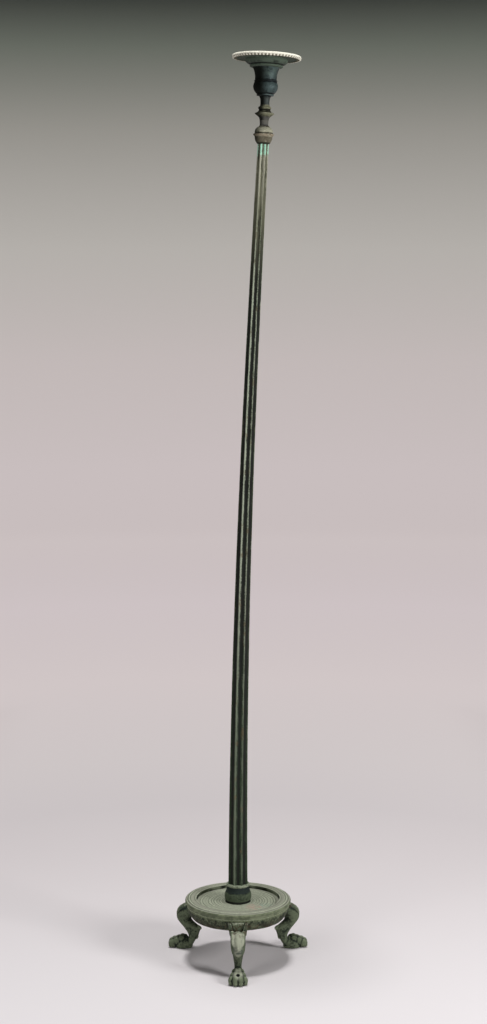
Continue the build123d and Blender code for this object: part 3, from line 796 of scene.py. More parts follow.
def knop_finish():
    """Beige cap, red-brown flange, brown cup and a grey stem."""
    patina = bpy.context.scene.lamp_patina
    tints = ((0.035, 0.027, 0.015), patina.knop_olive, (0.42, 0.38, 0.27))
    material = bronze("knop_patina", tints, (0.85, 0.22, 0.0))
    tree = material.node_tree
    level = crown_height(tree)
    cup = band(tree, level, 0.0095, 0.0108, 1.0, 0.0)
    tint_over(material, patchy(tree, cup, 210.0, 0.25, 0.5), (0.085, 0.07, 0.044), 0.8)
    flange = between(tree, level, 0.0108, 0.0138, 0.0006)
    tint_over(material, patchy(tree, flange, 240.0, 0.3, 0.5), patina.brown_stain, 0.45)
    # Painted shadow in the groove between the flange and the cap.
    line = between(tree, level, 0.0144, 0.0153, 0.0003)
    tint_over(material, line, (0.03, 0.024, 0.014), 0.7)
    seat = band(tree, level, 0.0012, 0.0035, 1.0, 0.0)
    tint_over(material, seat, (0.006, 0.01, 0.006), 0.9)
    tint_over(material, band(tree, level, 0.0243, 0.026), patina.stem_grey, 0.85)
    # Painted shade: the side away from the bend and the side softbox is blackened.
    paint_shaded_side(material, 0.85, -0.95, -0.35)
    return material


def stem_finish():
    """Olive flange and ring over a dark foot."""
    patina = bpy.context.scene.lamp_patina
    tints = ((0.02, 0.018, 0.01), (0.2, 0.2, 0.13), (0.36, 0.35, 0.26))
    material = bronze("spool_patina", tints, (0.75, 0.2, 0.02))
    tree = material.node_tree
    level = crown_height(tree)
    tint_over(material, band(tree, level, 0.0365, 0.0388, 1.0, 0.0), patina.stem_grey, 0.85)
    neck = between(tree, level, 0.0445, 0.0479, 0.0006)
    tint_over(material, neck, (0.02, 0.02, 0.014), 0.45)
    # Painted shade: the side away from the bend and the side softbox is blackened.
    paint_shaded_side(material, 0.9, -0.6, 0.1)
    return material


def bowl_finish():
    """Dark slate patina of the bowl, smoother than the rest, on a grey stem."""
    patina = bpy.context.scene.lamp_patina
    tints = ((0.006, 0.009, 0.01), patina.bowl_slate, (0.16, 0.2, 0.19))
    material = bronze("bowl_patina", tints, (0.72, 0.16, 0.05), 0.25, bump=0.55, polish=0.75)
    tree = material.node_tree
    level = crown_height(tree)
    tint_over(material, band(tree, level, 0.0635, 0.0655, 1.0, 0.0), (0.045, 0.05, 0.046), 0.85)
    roll = between(tree, level, 0.0857, 0.0874, 0.0004)
    tint_over(material, roll, (0.004, 0.006, 0.008), 0.8)
    flare = patchy(tree, band(tree, level, 0.088, 0.098), 230.0, 0.4, 0.6)
    tint_over(material, flare, (0.06, 0.088, 0.076), 0.75)
    # Painted shade: the side away from the bend and the side softbox is blackened.
    paint_shaded_side(material, 0.96, -0.5, 0.3)
    return material


def ring_finish():
    """Dark green patina of the mouth ring and the plate's underside."""
    tints = ((0.012, 0.018, 0.013), (0.075, 0.10, 0.072), (0.2, 0.24, 0.17))
    return bronze("ring_patina", tints, (0.68, 0.16, 0.08))


def rim_finish():
    """Cream crust on the rim, with dark olive under it and in the hollows between the eggs, and painted
    shadow on the ground below the eggs.
    """
    patina = bpy.context.scene.lamp_patina
    tints = (UMBER, patina.rim_cream, (0.9, 0.88, 0.78))
    material = bronze("rim_patina", tints, (1.1, 0.45, 0.0), 0.0)
    tree = material.node_tree
    below = band(tree, facing(tree, "Z"), -0.96, -0.88, 1.0, 0.0)
    tint_over(material, below, (0.05, 0.052, 0.028), 0.92)
    hollow = band(tree, stored(tree, "wear"), 0.2, 0.42, 1.0, 0.0)
    tint_over(material, hollow, UMBER, 0.35)
    # Painted shadow on the rim's ground below the eggs, which gives the scalloped lower edge.
    ground = band(tree, crown_height(tree), 0.1182, 0.1188, 1.0, 0.0)
    ground = sums(tree, "MULTIPLY", ground, band(tree, stored(tree, "egg"), 0.4, 0.6, 1.0, 0.0))
    tint_over(material, ground, (0.1, 0.092, 0.05), 0.8)
    return material


def iron_finish():
    """Rusted wrought iron."""
    patina = bpy.context.scene.lamp_patina
    tints = ((0.018, 0.012, 0.009), patina.rust, (0.2, 0.09, 0.04))
    return bronze("rusted_iron", tints, (0.6, 0.25, 0.0), 0.2, bump=0.8)


def lead_finish():
    """Dull grey lead."""
    tints = ((0.08, 0.08, 0.085), (0.22, 0.22, 0.23), (0.36, 0.36, 0.37))
    return bronze("dull_lead", tints, (0.8, 0.2, 0.0), 0.5)


FINISHES = {
    "disc_patina": disc_finish,
    "skirt_patina": skirt_finish,
    "leg_patina": leg_finish,
    "collar_patina": collar_finish,
    "shaft_patina": shaft_finish,
    "knop_patina": knop_finish,
    "spool_patina": stem_finish,
    "bowl_patina": bowl_finish,
    "ring_patina": ring_finish,
    "rim_patina": rim_finish,
    "rusted_iron": iron_finish,
    "dull_lead": lead_finish,
}


# Pieces

# Levels on the crown's axis where one piece ends and the next begins, in millimetres over the shaft's head
KNOP_TOP = 33.0
SPOOL_TOP = 54.0
BOWL_TOP = 105.0
RING_TOP = 117.0

PARTS_PER_FLUTE = 14
SHAFT_STATIONS = 90
WORN_ARRISES = (1.0, 0.8, 0.62, 0.9, 0.75, 0.95, 0.7, 0.6)


def skirt_face(head, foot, top, low):
    """The skirt's ovolo face, from its head down to its lower edge."""
    return arc((head, top), (head - 3.0, top - (top - low) * 0.6), (foot, low + 0.3), 14)


class LAMP_OT_disc(bpy.types.Operator):
    """Turned disc: flat rim, rounded lip and a sunk field with turned rings"""

    bl_idname = "lamp_stand.disc"
    bl_label = "Turned Disc"

    def execute(self, context):
        sizes = context.scene.lamp_base
        outer = sizes.disc_radius / MM
        top = sizes.disc_top / MM
        under = sizes.disc_bottom / MM
        field = sizes.recess_radius / MM
        floor = top - sizes.recess_depth / MM
        neck = sizes.skirt_head / MM
        bore = 9.2
        profile = [(bore, under), (40, under), (neck, under), (neck, top - 6.1)]
        profile += arc((outer - 1.7, top - 5.9), (outer, top - 3.5), (outer - 3.0, top - 1.1), 9)
        profile += [(outer - 3.8, top - 1.3), (outer - 4.5, top - 0.7), (outer - 5.0, top - 0.1)]
        profile += grooves((outer - 7.5,), top, 0.5, 0.7)
        profile += [(field + 3.4, top), (field + 2.6, top - 0.3), (field + 1.8, top), (field + 0.5, top)]
        profile += [(field, top - 0.4), (field - 0.1, top - 2.6), (field + 0.4, floor + 1.2)]
        profile += [(field + 0.2, floor + 0.2), (field - 1.0, floor)]
        profile += grooves((55.6, 51.8, 47.5, 43.6, 39.0, 35.2, 31.4, 27.0, 23.4, 20.9), floor, 0.45)
        profile += [(bore, floor)]
        piece = turned("turned_disc", profile, True, 160)
        age(piece, 0.15, 0.22, 9, 2.0)
        hand_over(piece, STAND, "disc_patina", "base_disc")
        return {"FINISHED"}


class LAMP_OT_skirt(bpy.types.Operator):
    """Skirt: a hollow ring with an ovolo face under the disc, and an inner flange"""

    bl_idname = "lamp_stand.skirt"
    bl_label = "Skirt"

    def execute(self, context):
        sizes = context.scene.lamp_base
        head = sizes.skirt_head / MM
        foot = sizes.skirt_foot / MM
        top = sizes.disc_bottom / MM
        low = sizes.skirt_bottom / MM
        inner = foot - sizes.skirt_wall / MM
        profile = skirt_face(head, foot, top, low)
        profile += [(foot - 0.5, low + 0.05), (foot - 1.0, low), (inner + 0.4, low), (inner, low + 0.4)]
        profile += [(inner, low + 8.0), (head - 4.8, top - 2), (head - 11.8, top - 2), (head - 11.8, top)]
        piece = turned("ovolo_skirt", profile, True, 160)
        age(piece, 0.2, 0.5, 12, 3.0)
        hand_over(piece, STAND, "skirt_patina", "skirt")
        return {"FINISHED"}


class LAMP_OT_collar(bpy.types.Operator):
    """Moulded collar: foot, band and cove under a torus"""

    bl_idname = "lamp_stand.collar"
    bl_label = "Collar"

    def execute(self, context):
        sizes = context.scene.lamp_base
        low = (sizes.disc_top - sizes.recess_depth) / MM
        top = sizes.collar_top / MM
        band_radius = sizes.collar_radius / MM
        profile = [(10.1, low), (18.5, low), (18.7, low + 0.4), (18.5, low + 2.4), (18.1, low + 3.0)]
        profile += arc((18.8, low + 3.5), (band_radius, low + 8.6), (18.7, low + 13.8), 9)
        profile += [(18.2, low + 14.4), (18.1, low + 15.0), (17.3, low + 16.8)]
        profile += [(16.4, low + 20.0), (15.8, low + 22.6), (15.6, low + 23.2)]
        profile += arc((16.1, top - 3.8), (17.2, top - 2.0), (16.1, top - 0.2), 7)
        profile += [(15.6, top), (10.1, top)]
        piece = turned("shaft_collar_mould", profile, True, 112)
        age(piece, 0.18, 0.3, 8, 3.0)
        hand_over(piece, STAND, "collar_patina", "shaft_collar")
        return {"FINISHED"}


def fluted_ring(sizes, level):
    """The shaft's section at this level: a ring that is drawn in between its arrises."""
    start_clean()
    bpy.ops.mesh.primitive_circle_add(
        vertices=sizes.flutes * PARTS_PER_FLUTE, radius=sizes.foot_radius, location=(0, 0, level)
    )
    piece = bpy.context.object
    piece.name = piece.data.name = "fluted_shaft"
    settle(piece)
    step = math.tau / sizes.flutes
    for part in range(1, PARTS_PER_FLUTE // 2 + 1):
        edit(piece)
        bpy.ops.mesh.select_all(action="DESELECT")
        bpy.ops.object.mode_set(mode="OBJECT")
        for vertex in piece.data.vertices:
            turn = (math.atan2(vertex.co.y, vertex.co.x) - math.radians(-90) + step / 2) % step
            across = min(turn, step - turn) / step * PARTS_PER_FLUTE
            vertex.select = abs(across - part) < 0.2
        bpy.ops.object.mode_set(mode="EDIT")
        hollow = math.sin(math.pi / 2 * min(1.0, (part - 0.6) / (PARTS_PER_FLUTE / 2 - 0.6)))
        pull = 1 - sizes.flute_depth * max(0.0, hollow) ** 0.8
        bpy.ops.transform.resize(value=(pull, pull, 1), center_override=(0, 0, level))
        bpy.ops.object.mode_set(mode="OBJECT")
    return piece


def bent_line(sizes, foot_level):
    """Places on the shaft's bent middle line, from the collar's top to the head, with their shares of it."""
    guide = (sizes.head_height - foot_level) / 3
    foot = Vector((0, 0, foot_level))
    head = Vector((sizes.head_offset, 0, sizes.head_height))
    upright = foot + Vector((0, 0, guide))
    leaning = head - Vector((guide * math.tan(sizes.head_lean), 0, guide))
    for station in range(SHAFT_STATIONS + 1):
        share = station / SHAFT_STATIONS
        rest = 1 - share
        lower = foot * rest**3 + upright * (3 * rest**2 * share)
        yield share, lower + leaning * (3 * rest * share**2) + head * share**3


class LAMP_OT_shaft(bpy.types.Operator):
    """Fluted shaft: one fluted section is extruded up the bent line, with a taper"""

    bl_idname = "lamp_stand.shaft"
    bl_label = "Fluted Shaft"

    def execute(self, context):
        sizes = context.scene.lamp_shaft
        foot_level = context.scene.lamp_base.collar_top
        bury = 4 * MM
        piece = fluted_ring(sizes, foot_level - bury)
        edit(piece)
        place = Vector((0, 0, foot_level - bury))
        radius = sizes.foot_radius
        line = [(place.z, place.x)]
        for share, target in bent_line(sizes, foot_level):
            bpy.ops.mesh.extrude_edges_move(TRANSFORM_OT_translate={"value": target - place})
            taper = (1 - share) ** sizes.taper
            new_radius = sizes.head_radius + (sizes.foot_radius - sizes.head_radius) * taper
            spread = new_radius / radius
            bpy.ops.transform.resize(value=(spread, spread, 1), center_override=target)
            place, radius = target, new_radius
            line.append((place.z, place.x))
        lean = context.scene.lamp_crown.lean
        bpy.ops.transform.rotate(value=-lean, orient_axis="Y", center_override=place)
        bpy.ops.mesh.select_all(action="SELECT")
        bpy.ops.mesh.fill_holes(sides=0)
        bpy.ops.mesh.normals_make_consistent(inside=False)
        bpy.ops.object.mode_set(mode="OBJECT")
        across, depth, level = points_of(piece).T
        step = math.tau / sizes.flutes
        turn = np.arctan2(depth, across - np.interp(level, *zip(*line))) + math.pi / 2 + step / 2
        away = np.minimum(turn % step, step - turn % step) / (step / 2)
        which = np.round(turn / step).astype(int) % sizes.flutes
        worn = np.array(WORN_ARRISES)[which % len(WORN_ARRISES)]
        roughen(piece, 0.45, 6)
        smooth(piece, 50)
        mark_wear(piece, 2.5, 2, 1.1)
        store(piece, "arris", (1 - away) * worn)
        hand_over(piece, STAND, "shaft_patina", "shaft")
        return {"FINISHED"}


class LAMP_OT_knop(bpy.types.Operator):
    """Knop: a cup under a sharp flange, a cap and the lower stem"""

    bl_idname = "lamp_stand.knop"
    bl_label = "Knop"

    def execute(self, context):
        stem = context.scene.lamp_crown.stem_radius / MM
        profile = arc((7.8, 0), (11.2, 4.4), (12.4, 9.8), 8)
        profile += [(13.0, 11.2), (14.4, 12.4), (14.7, 13.1), (14.4, 13.8), (12.9, 14.7), (12.5, 15.3)]
        profile += arc((12.7, 15.9), (11.8, 20.4), (8.2, 23.8), 8)
        profile += [(7.4, 24.2), (7.2, 24.8), (stem - 0.3, 25.8), (stem - 0.5, 28.5), (stem, KNOP_TOP)]
        piece = turned("knop_moulding", profile, False, 96)
        width, depth, below = 5.0, 27.5, 0.05
        start_clean()
        bpy.ops.mesh.primitive_cube_add(size=1, location=(0, 0, (depth / 2) * MM))
        socket = context.object
        socket.scale = (width * MM, width * MM, (depth + below * 2) * MM)
        settle(socket)
        carve(piece, socket)
        age(on_crown(piece), 0.15, 0.25, 5, 2.5)
        hand_over(piece, CROWN, "knop_patina", "crown_knop")
        return {"FINISHED"}


class LAMP_OT_spool(bpy.types.Operator):
    """Spool: a flaring foot, a sharp flange and a small ring"""

    bl_idname = "lamp_stand.spool"
    bl_label = "Spool"

    def execute(self, context):
        stem = context.scene.lamp_crown.stem_radius / MM
        profile = arc((stem, KNOP_TOP), (stem + 0.9, 36.2), (10.4, 39.2), 5)
        profile += [(11.2, 39.9), (13.2, 41.3), (13.7, 42.0), (13.3, 42.7), (11.0, 43.5), (9.3, 44.7)]
        profile += [(8.2, 46.4), (8.0, 47.8)]
        profile += arc((8.5, 48.3), (9.2, 49.8), (8.4, 51.4), 4)
        profile += [(7.4, 52.0), (stem + 0.2, 52.9), (stem, SPOOL_TOP)]
        piece = turned("spool_moulding", profile, False, 96)
        age(on_crown(piece), 0.12, 0.25, 5, 2.5)
        hand_over(piece, CROWN, "spool_patina", "crown_spool")
        return {"FINISHED"}


class LAMP_OT_bowl(bpy.types.Operator):
    """Bowl in the form of a mixing bowl, on the upper stem and a foot ring"""

    bl_idname = "lamp_stand.bowl"
    bl_label = "Bowl"

    def execute(self, context):
        sizes = context.scene.lamp_crown
        stem = sizes.stem_radius / MM
        body = sizes.bowl_radius / MM
        mouth = sizes.mouth_radius / MM
        profile = [(stem, SPOOL_TOP), (stem - 0.1, 58.0), (stem + 0.4, 62.5), (8.0, 65.2), (9.0, 66.2)]
        profile += [(11.6, 66.6), (12.2, 67.3), (12.1, 68.2), (11.6, 68.7)]
        profile += arc((12.4, 69.4), (16.4, 74.6), (body, 79.0), 9)
        profile += arc((body, 79.0), (16.8, 82.4), (15.7, 85.2), 6)[1:]
        profile += [(15.7, 85.8), (16.3, 86.2), (16.4, 86.8), (15.7, 87.3), (15.3, 87.8)]
        profile += arc((15.3, 88.2), (15.9, 96.6), (17.6, 102.2), 9)
        profile += arc((17.6, 102.2), (18.4, 103.9), (mouth, BOWL_TOP), 3)[1:]
        profile += [(mouth - 2.5, BOWL_TOP)]
        profile += arc((mouth - 2.6, 104.2), (13.2, 95.0), (13.0, 86.0), 6)
        profile += [(14.3, 79.0), (11.2, 71.4), (0.6, 71.3)]
        piece = turned("mixing_bowl", profile, False, 112)
        age(on_crown(piece), 0.12, 0.22, 6, 2.5)
        hand_over(piece, CROWN, "bowl_patina", "crown_bowl")
        return {"FINISHED"}


class LAMP_OT_mouth(bpy.types.Operator):
    """Mouth ring: a roll on the bowl's mouth, then a cove that spreads to carry the plate"""

    bl_idname = "lamp_stand.mouth"
    bl_label = "Mouth Ring"

    def execute(self, context):
        mouth = context.scene.lamp_crown.mouth_radius / MM
        profile = [(mouth - 2.5, BOWL_TOP), (mouth + 0.3, BOWL_TOP)]
        profile += arc((21.8, 105.3), (23.4, 106.9), (22.8, 108.4), 7)
        profile += [(22.3, 108.8), (22.6, 109.2)]
        profile += arc((23.9, 109.4), (27.4, 110.6), (29.4, 113.0), 7)
        profile += [(29.5, 113.8), (29.5, RING_TOP), (mouth - 2.5, RING_TOP)]
        piece = turned("mouth_roll", profile, True, 128)
        age(on_crown(piece), 0.15, 0.25, 6, 2.5)
        hand_over(piece, CROWN, "ring_patina", "mouth_ring")
        return {"FINISHED"}


class LAMP_OT_plate(bpy.types.Operator):
    """Plate that takes the lamp: a shallow dish with turned rings on both faces"""

    bl_idname = "lamp_stand.plate"
    bl_label = "Lamp Plate"

    def execute(self, context):
        profile = [(0.4, RING_TOP), (17.0, RING_TOP), (28.0, RING_TOP)]
        profile += grooves((32.5, 36.0, 39.5), RING_TOP, -0.35)
        profile += [(43.1, RING_TOP), (43.1, 120.8), (40.8, 120.8), (40.2, 120.4), (39.6, 119.6)]
        profile += grooves((36.0, 32.6, 26.0, 16.0, 6.0), 119.6)
        profile += [(0.4, 119.6)]
        piece = turned("lamp_dish", profile, False, 160)
        age(on_crown(piece), 0.15, 0.2, 9, 2.5)
        hand_over(piece, CROWN, "ring_patina", "lamp_plate")
        return {"FINISHED"}


def egg_and_dart(outer, count):
    """One egg of the rim and the dart beside it, in millimetres, for a rim of this outer radius."""
    start_clean()
    bpy.ops.mesh.primitive_uv_sphere_add(segments=12, ring_count=8, radius=1)
    egg = bpy.context.object
    egg.scale = (1.25 * MM, 1.95 * MM, 2.0 * MM)
    egg.rotation_euler = (0, math.radians(38), 0)
    egg.location = ((outer - 1.65) * MM, 0, 117.9 * MM)
    settle(egg)
    store(egg, "egg", [1.0] * len(egg.data.vertices))
    start_clean()
    bpy.ops.mesh.primitive_cone_add(vertices=8, radius1=0.5 * MM, radius2=0.12 * MM, depth=2.4 * MM)
    dart = bpy.context.object
    turn = math.pi / count
    dart.rotation_euler = (math.pi, math.radians(-34), turn)
    reach = (outer - 1.5) * MM
    dart.location = (reach * math.cos(turn), reach * math.sin(turn), 118.1 * MM)
    settle(dart)
    return join([egg, dart], "egg_and_dart")


class LAMP_OT_rim(bpy.types.Operator):
    """Rim round the plate, with a ledge under it and a row of eggs and darts on its face"""

    bl_idname = "lamp_stand.rim"
    bl_label = "Plate Rim"

    def execute(self, context):
        sizes = context.scene.lamp_crown
        outer = sizes.plate_radius / MM
        profile = [(42.1, 116.6), (outer - 4.0, 116.5)]
        profile += arc((outer - 3.2, 116.7), (outer - 0.2, 119.5), (outer - 1.3, 121.3), 10)
        profile += [(outer - 2.0, 121.6), (44.4, 121.6), (43.3, 121.3), (43.2, 117.1), (42.1, RING_TOP)]
        rim = turned("egg_rim", profile, True, sizes.eggs * 4)
        soften(rim, 0.1)
        pair = egg_and_dart(outer, sizes.eggs)
        pieces = [rim]
        for number in range(sizes.eggs):
            copy = pair.copy()
            copy.data = pair.data.copy()
            context.collection.objects.link(copy)
            copy.rotation_euler = (0, 0, math.tau * number / sizes.eggs)
            settle(copy)
            pieces.append(copy)
        bpy.data.objects.remove(pair)
        piece = join(pieces, "egg_rim")
        roughen(on_crown(piece), 0.25, 3)
        smooth(piece)
        mark_wear(piece, 1.5, 2)
        hand_over(piece, CROWN, "rim_patina", "plate_rim")
        return {"FINISHED"}


# Sections of a leg from its haunch down: height, back, front and width, in millimetres
LIMB = (
    (68.8, 66.5, 88.0, 18.0),
    (66.8, 66.5, 92.4, 20.6),
    (62.0, 69.0, 99.4, 21.8),
    (57.5, 73.0, 103.0, 22.0),
    (51.0, 80.0, 105.2, 21.6),
    (45.0, 82.5, 104.2, 20.0),
    (40.5, 77.0, 101.5, 18.2),
    (36.5, 66.5, 98.0, 16.4),
    (33.0, 64.0, 94.0, 15.0),
    (28.5, 66.0, 89.5, 13.8),
    (24.0, 67.6, 85.6, 12.4),
    (19.5, 69.7, 83.8, 10.8),
    (14.5, 73.0, 86.0, 10.6),
    (9.0, 77.0, 91.0, 12.5),
    (3.0, 79.5, 95.0, 13.5),
)
FRONTS = [(level, front) for level, back, front, width in reversed(LIMB)]

# Each toe's angle and size share, then a toe's forms: reach, height, three radii and tilt
TOES = ((-18.6, 0.93), (-6.2, 1.0), (6.2, 1.0), (18.6, 0.93))
TOE_FORMS = (
    (9.0, 10.0, 8.4, 4.6, 7.2, 20.0),
    (15.8, 13.6, 6.4, 4.8, 6.6, 16.0),
    (23.0, 10.6, 7.8, 4.9, 6.4, 24.0),
    (30.8, 6.8, 6.4, 5.2, 6.7, 14.0),
)
TOE_PIVOT = 80.0


def ball(place, radii, tilt=0.0, turn=0.0):
    """An egg-shaped form for the legs, with its place and radii in millimetres."""
    start_clean()
    bpy.ops.mesh.primitive_uv_sphere_add(segments=24, ring_count=14, radius=1)
    form = bpy.context.object
    form.scale = [radius * MM for radius in radii]
    form.rotation_euler = (0, math.radians(tilt), math.radians(turn))
    form.location = [value * MM for value in place]
    settle(form)
    return form


def tube(name, stations, sides=16):
    """A closed form through level sections given as height, back, front and width, in millimetres."""
    start_clean()
    level, back, front, width = stations[0]
    bpy.ops.mesh.primitive_circle_add(vertices=sides, radius=1)
    form = bpy.context.object
    form.name = name
    depth = (front - back) / 2
    form.scale = (depth * MM, width / 2 * MM, 1)
    form.location = ((front + back) / 2 * MM, 0, level * MM)
    settle(form)
    edit(form)
    for new_level, new_back, new_front, new_width in stations[1:]:
        old_middle, new_middle = (front + back) / 2, (new_front + new_back) / 2
        shift = ((new_middle - old_middle) * MM, 0, (new_level - level) * MM)
        bpy.ops.mesh.extrude_edges_move(TRANSFORM_OT_translate={"value": shift})
        bpy.ops.transform.resize(
            value=((new_front - new_back) / (front - back), new_width / width, 1),
            center_override=(new_middle * MM, 0, new_level * MM),
        )
        level, back, front, width = new_level, new_back, new_front, new_width
    bpy.ops.mesh.select_all(action="SELECT")
    bpy.ops.mesh.fill_holes(sides=0)
    bpy.ops.mesh.normals_make_consistent(inside=False)
    bpy.ops.object.mode_set(mode="OBJECT")
    finish_with(form, "SUBSURF", levels=2, render_levels=2)
    return form


def block(place, size, pinch, round_over):
    """A block with rounded edges, narrower at its foot by pinch. Sizes are in millimetres."""
    start_clean()
    bpy.ops.mesh.primitive_cube_add(size=1)
    form = bpy.context.object
    form.scale = [value * MM for value in size]
    settle(form)
    edit(form)
    bpy.ops.mesh.select_all(action="DESELECT")
    bpy.ops.object.mode_set(mode="OBJECT")
    for vertex in form.data.vertices:
        vertex.select = vertex.co.z < 0
    bpy.ops.object.mode_set(mode="EDIT")
    bpy.ops.transform.resize(value=(1, pinch, 1), center_override=(0, 0, -size[2] / 2 * MM))
    bpy.ops.object.mode_set(mode="OBJECT")
    form.location = [value * MM for value in place]
    settle(form)
    finish_with(form, "BEVEL", width=round_over * MM, segments=3, limit_method="NONE")
    return form


def knee_ridges():
    """Three ridges down the knee, each a row of balls that shrink towards the shank."""
    balls = []
    top, steps = 67.6, 10
    for side, size, foot in ((0.0, 4.6, 50.0), (8.2, 3.0, 51.5), (-8.2, 3.0, 51.5)):
        lift = 0.9 if side == 0 else -2.4
        for step in range(steps):
            share = step / (steps - 1)
            level = top + (foot - top) * share
            front = np.interp(level, *zip(*FRONTS))
            swell = size * math.cos(math.pi / 2 * share**2.2) + 0.5
            place = (front + lift - swell * 0.9, side * (1 - 0.3 * share), level)
            balls.append(ball(place, (swell * 0.95, swell, 3.0)))
    return balls


def toe(angle, share):
    """One toe, fanned out by its angle from the paw's pivot, with the claw's pad at its tip."""
    turn = math.radians(angle)
    balls = []
    for reach, level, *radii, tilt in (*TOE_FORMS, (35.2, 3.6, 2.8, 3.6, 3.6, 20.0)):
        out = reach * share
        place = (TOE_PIVOT + out * math.cos(turn), out * math.sin(turn), level * share)
        balls.append(ball(place, [radius * share for radius in radii], tilt, angle))
    return balls


def leg_forms():
    """All the forms of one leg, pointing along +X, before they are joined into one skin."""
    forms = [tube("limb", LIMB)] + knee_ridges()
    forms.append(ball((67.5, 0, 34.6), (5.0, 3.6, 3.2), -20))
    forms.append(ball((72.0, 0, 24.0), (4.0, 2.8, 8.0), 8))
    forms.append(block((71.3, 0, 69.2), (13.2, 30.0, 19.6), 0.78, 1.6))
    for angle, share in TOES:
        forms += toe(angle, share)
    forms.append(ball((94.0, 0, 6.0), (16.0, 11.0, 9.6), 16))
    forms.append(ball((104.5, 0, 7.2), (10.5, 9.6, 8.2), 26))
    forms.append(ball((86.5, 0, 4.6), (8.0, 6.8, 5.0)))
    return forms


def carve(piece, cutter):
    """Takes the cutter's form out of the piece."""
    finish_with(piece, "BOOLEAN", object=cutter, operation="DIFFERENCE", solver="EXACT")
    bpy.data.objects.remove(cutter)


def leg_skin(base, voxel):
    """One leg as a single skin, cut to the skirt, the disc's underside and the floor."""
    leg = join(leg_forms(), "lion_leg")
    finish_with(leg, "REMESH", mode="VOXEL", voxel_size=voxel)
    finish_with(leg, "SMOOTH", factor=0.5, iterations=8)
    carve(leg, block((80.2, 0, 71.5), (10.8, 22.0, 19.0), 0.5, 1.6))
    gap = 0.1
    head, foot = base.skirt_head / MM + gap, base.skirt_foot / MM + gap
    face = skirt_face(head, foot, base.disc_bottom / MM, base.skirt_bottom / MM)
    carve(leg, turned("skirt_cutter", face, False))
    sole, shoulder = 0.0002, base.disc_bottom - 0.0036
    for plane, normal in (((0, 0, sole), (0, 0, 1)), ((0, 0, shoulder), (0, 0, -1))):
        edit(leg)
        bpy.ops.mesh.bisect(plane_co=plane, plane_no=normal, use_fill=True, clear_inner=True)
        bpy.ops.object.mode_set(mode="OBJECT")
    roughen(leg, 0.35, 4)
    roughen(leg, 0.12, 1.4)
    leg.data.validate()
    smooth(leg, 60)
    return leg


def ramp(value, width):
    """Rises from 0 to 1 over a width in millimetres."""
    return np.clip(value / width, 0, 1)


def leg_marks(piece, sizes, share):
    """Where a leg that points along +X is pale, on knee and paw, and where shade is painted dark: under the
    knee, on the wings under the disc's lip and in the paw's hole.
    """
    reach, side, level = points_of(piece).T / MM
    side = np.abs(side)
    outward = ramp(reach - np.interp(level, *zip(*FRONTS)) + 5.5, 3)
    vee = ramp(level - 48.5 - side * 0.6, 2.5) * ramp(71.5 - level - side * 0.3, 2)
    knee = outward * vee * ramp(9.8 - side, 1.5)
    paw = ramp(10 - np.hypot(reach - 106, side * 1.2), 4) * ramp(level - 6, 4)
    # Painted shade under the knee.
    below = outward * ramp(level - 40, 4) * ramp(50.5 - level + side * 0.6, 3)
    # Painted shade on the wings under the disc's lip.
    wing = ramp(level - 60, 3) * ramp(side - 8.6, 1.5) * 0.8
    # Painted shade inside the paw's hole.
    bore = np.hypot(reach - sizes.hole_reach / MM, side) < sizes.hole_radius / MM + 0.45
    dark = np.maximum(np.maximum(below * share, wing), bore * share * 2)
    return np.maximum(knee, paw) * share, dark


class LAMP_OT_legs(bpy.types.Operator):
    """Three lion's legs: ridged haunch, hock and paw, with wings that take the skirt"""

    bl_idname = "lamp_stand.legs"
    bl_label = "Lion's Legs"

    def execute(self, context):
        sizes = context.scene.lamp_legs
        leg = leg_skin(context.scene.lamp_base, sizes.voxel)
        for name, azimuth in LEGS.items():
            piece = leg.copy()
            piece.data = leg.data.copy()
            piece.name = piece.data.name = name.replace("leg", "lion_leg")
            context.collection.objects.link(piece)
            if name == "front_leg":
                start_clean()
                bpy.ops.mesh.primitive_cylinder_add(
                    vertices=24, radius=sizes.hole_radius, depth=0.026, location=(sizes.hole_reach, 0, 0.017)
                )
                carve(piece, context.object)
            pale, dark = leg_marks(piece, sizes, 1.0 if name == "front_leg" else 0.2)
            piece.rotation_euler = (0, 0, math.radians(azimuth))
            settle(piece)
            mark_wear(piece, 2.5, 6, 1.0)
            store(piece, "pale", pale)
            store(piece, "dark", dark)
            hand_over(piece, STAND, "leg_patina", name)
        bpy.data.objects.remove(leg)
        return {"FINISHED"}


class LAMP_OT_ironwork(bpy.types.Operator):
    """Rivets, washer, wedge and dowel under the disc, and the tenon, rod and lead inside"""

    bl_idname = "lamp_stand.ironwork"
    bl_label = "Rivets and Ironwork"

    def execute(self, context):
        base = context.scene.lamp_base
        inner = (base.skirt_foot - base.skirt_wall) / MM
        rivets = []
        reach = inner - 0.2
        radius = 3.2
        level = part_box("leg_rivets")[0].z / MM + radius
        for azimuth in LEGS.values():
            turn = math.radians(azimuth)
            place = (reach * math.cos(turn), reach * math.sin(turn), level)
            rivets.append(ball(place, (1.8, radius, radius), 0, azimuth))
        piece = join(rivets, "rivet_heads")
        roughen(piece, 0.3, 2)
        smooth(piece)
        mark_wear(piece)
        hand_over(piece, STAND, "leg_patina", "leg_rivets")
        low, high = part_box("dowel_washer")
        middle, size = (low + high) / 2 / MM, (high - low) / MM
        piece = block(middle, size, 0.98, 0.5)
        piece.name = piece.data.name = "plate_washer"
        finish_with(piece, "SUBSURF", levels=3, render_levels=3, subdivision_type="SIMPLE")
        roughen(piece, 0.5, 5)
        smooth(piece)
        mark_wear(piece)
        hand_over(piece, STAND, "rusted_iron", "dowel_washer")
        for name in ("shaft_dowel", "dowel_wedge", "head_tenon", "crown_rod"):
            paint(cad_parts[name], "rusted_iron")
        paint(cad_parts["dowel_lead"], "dull_lead")
        return {"FINISHED"}


# Stage


FLOOR_LEVEL = -0.0002
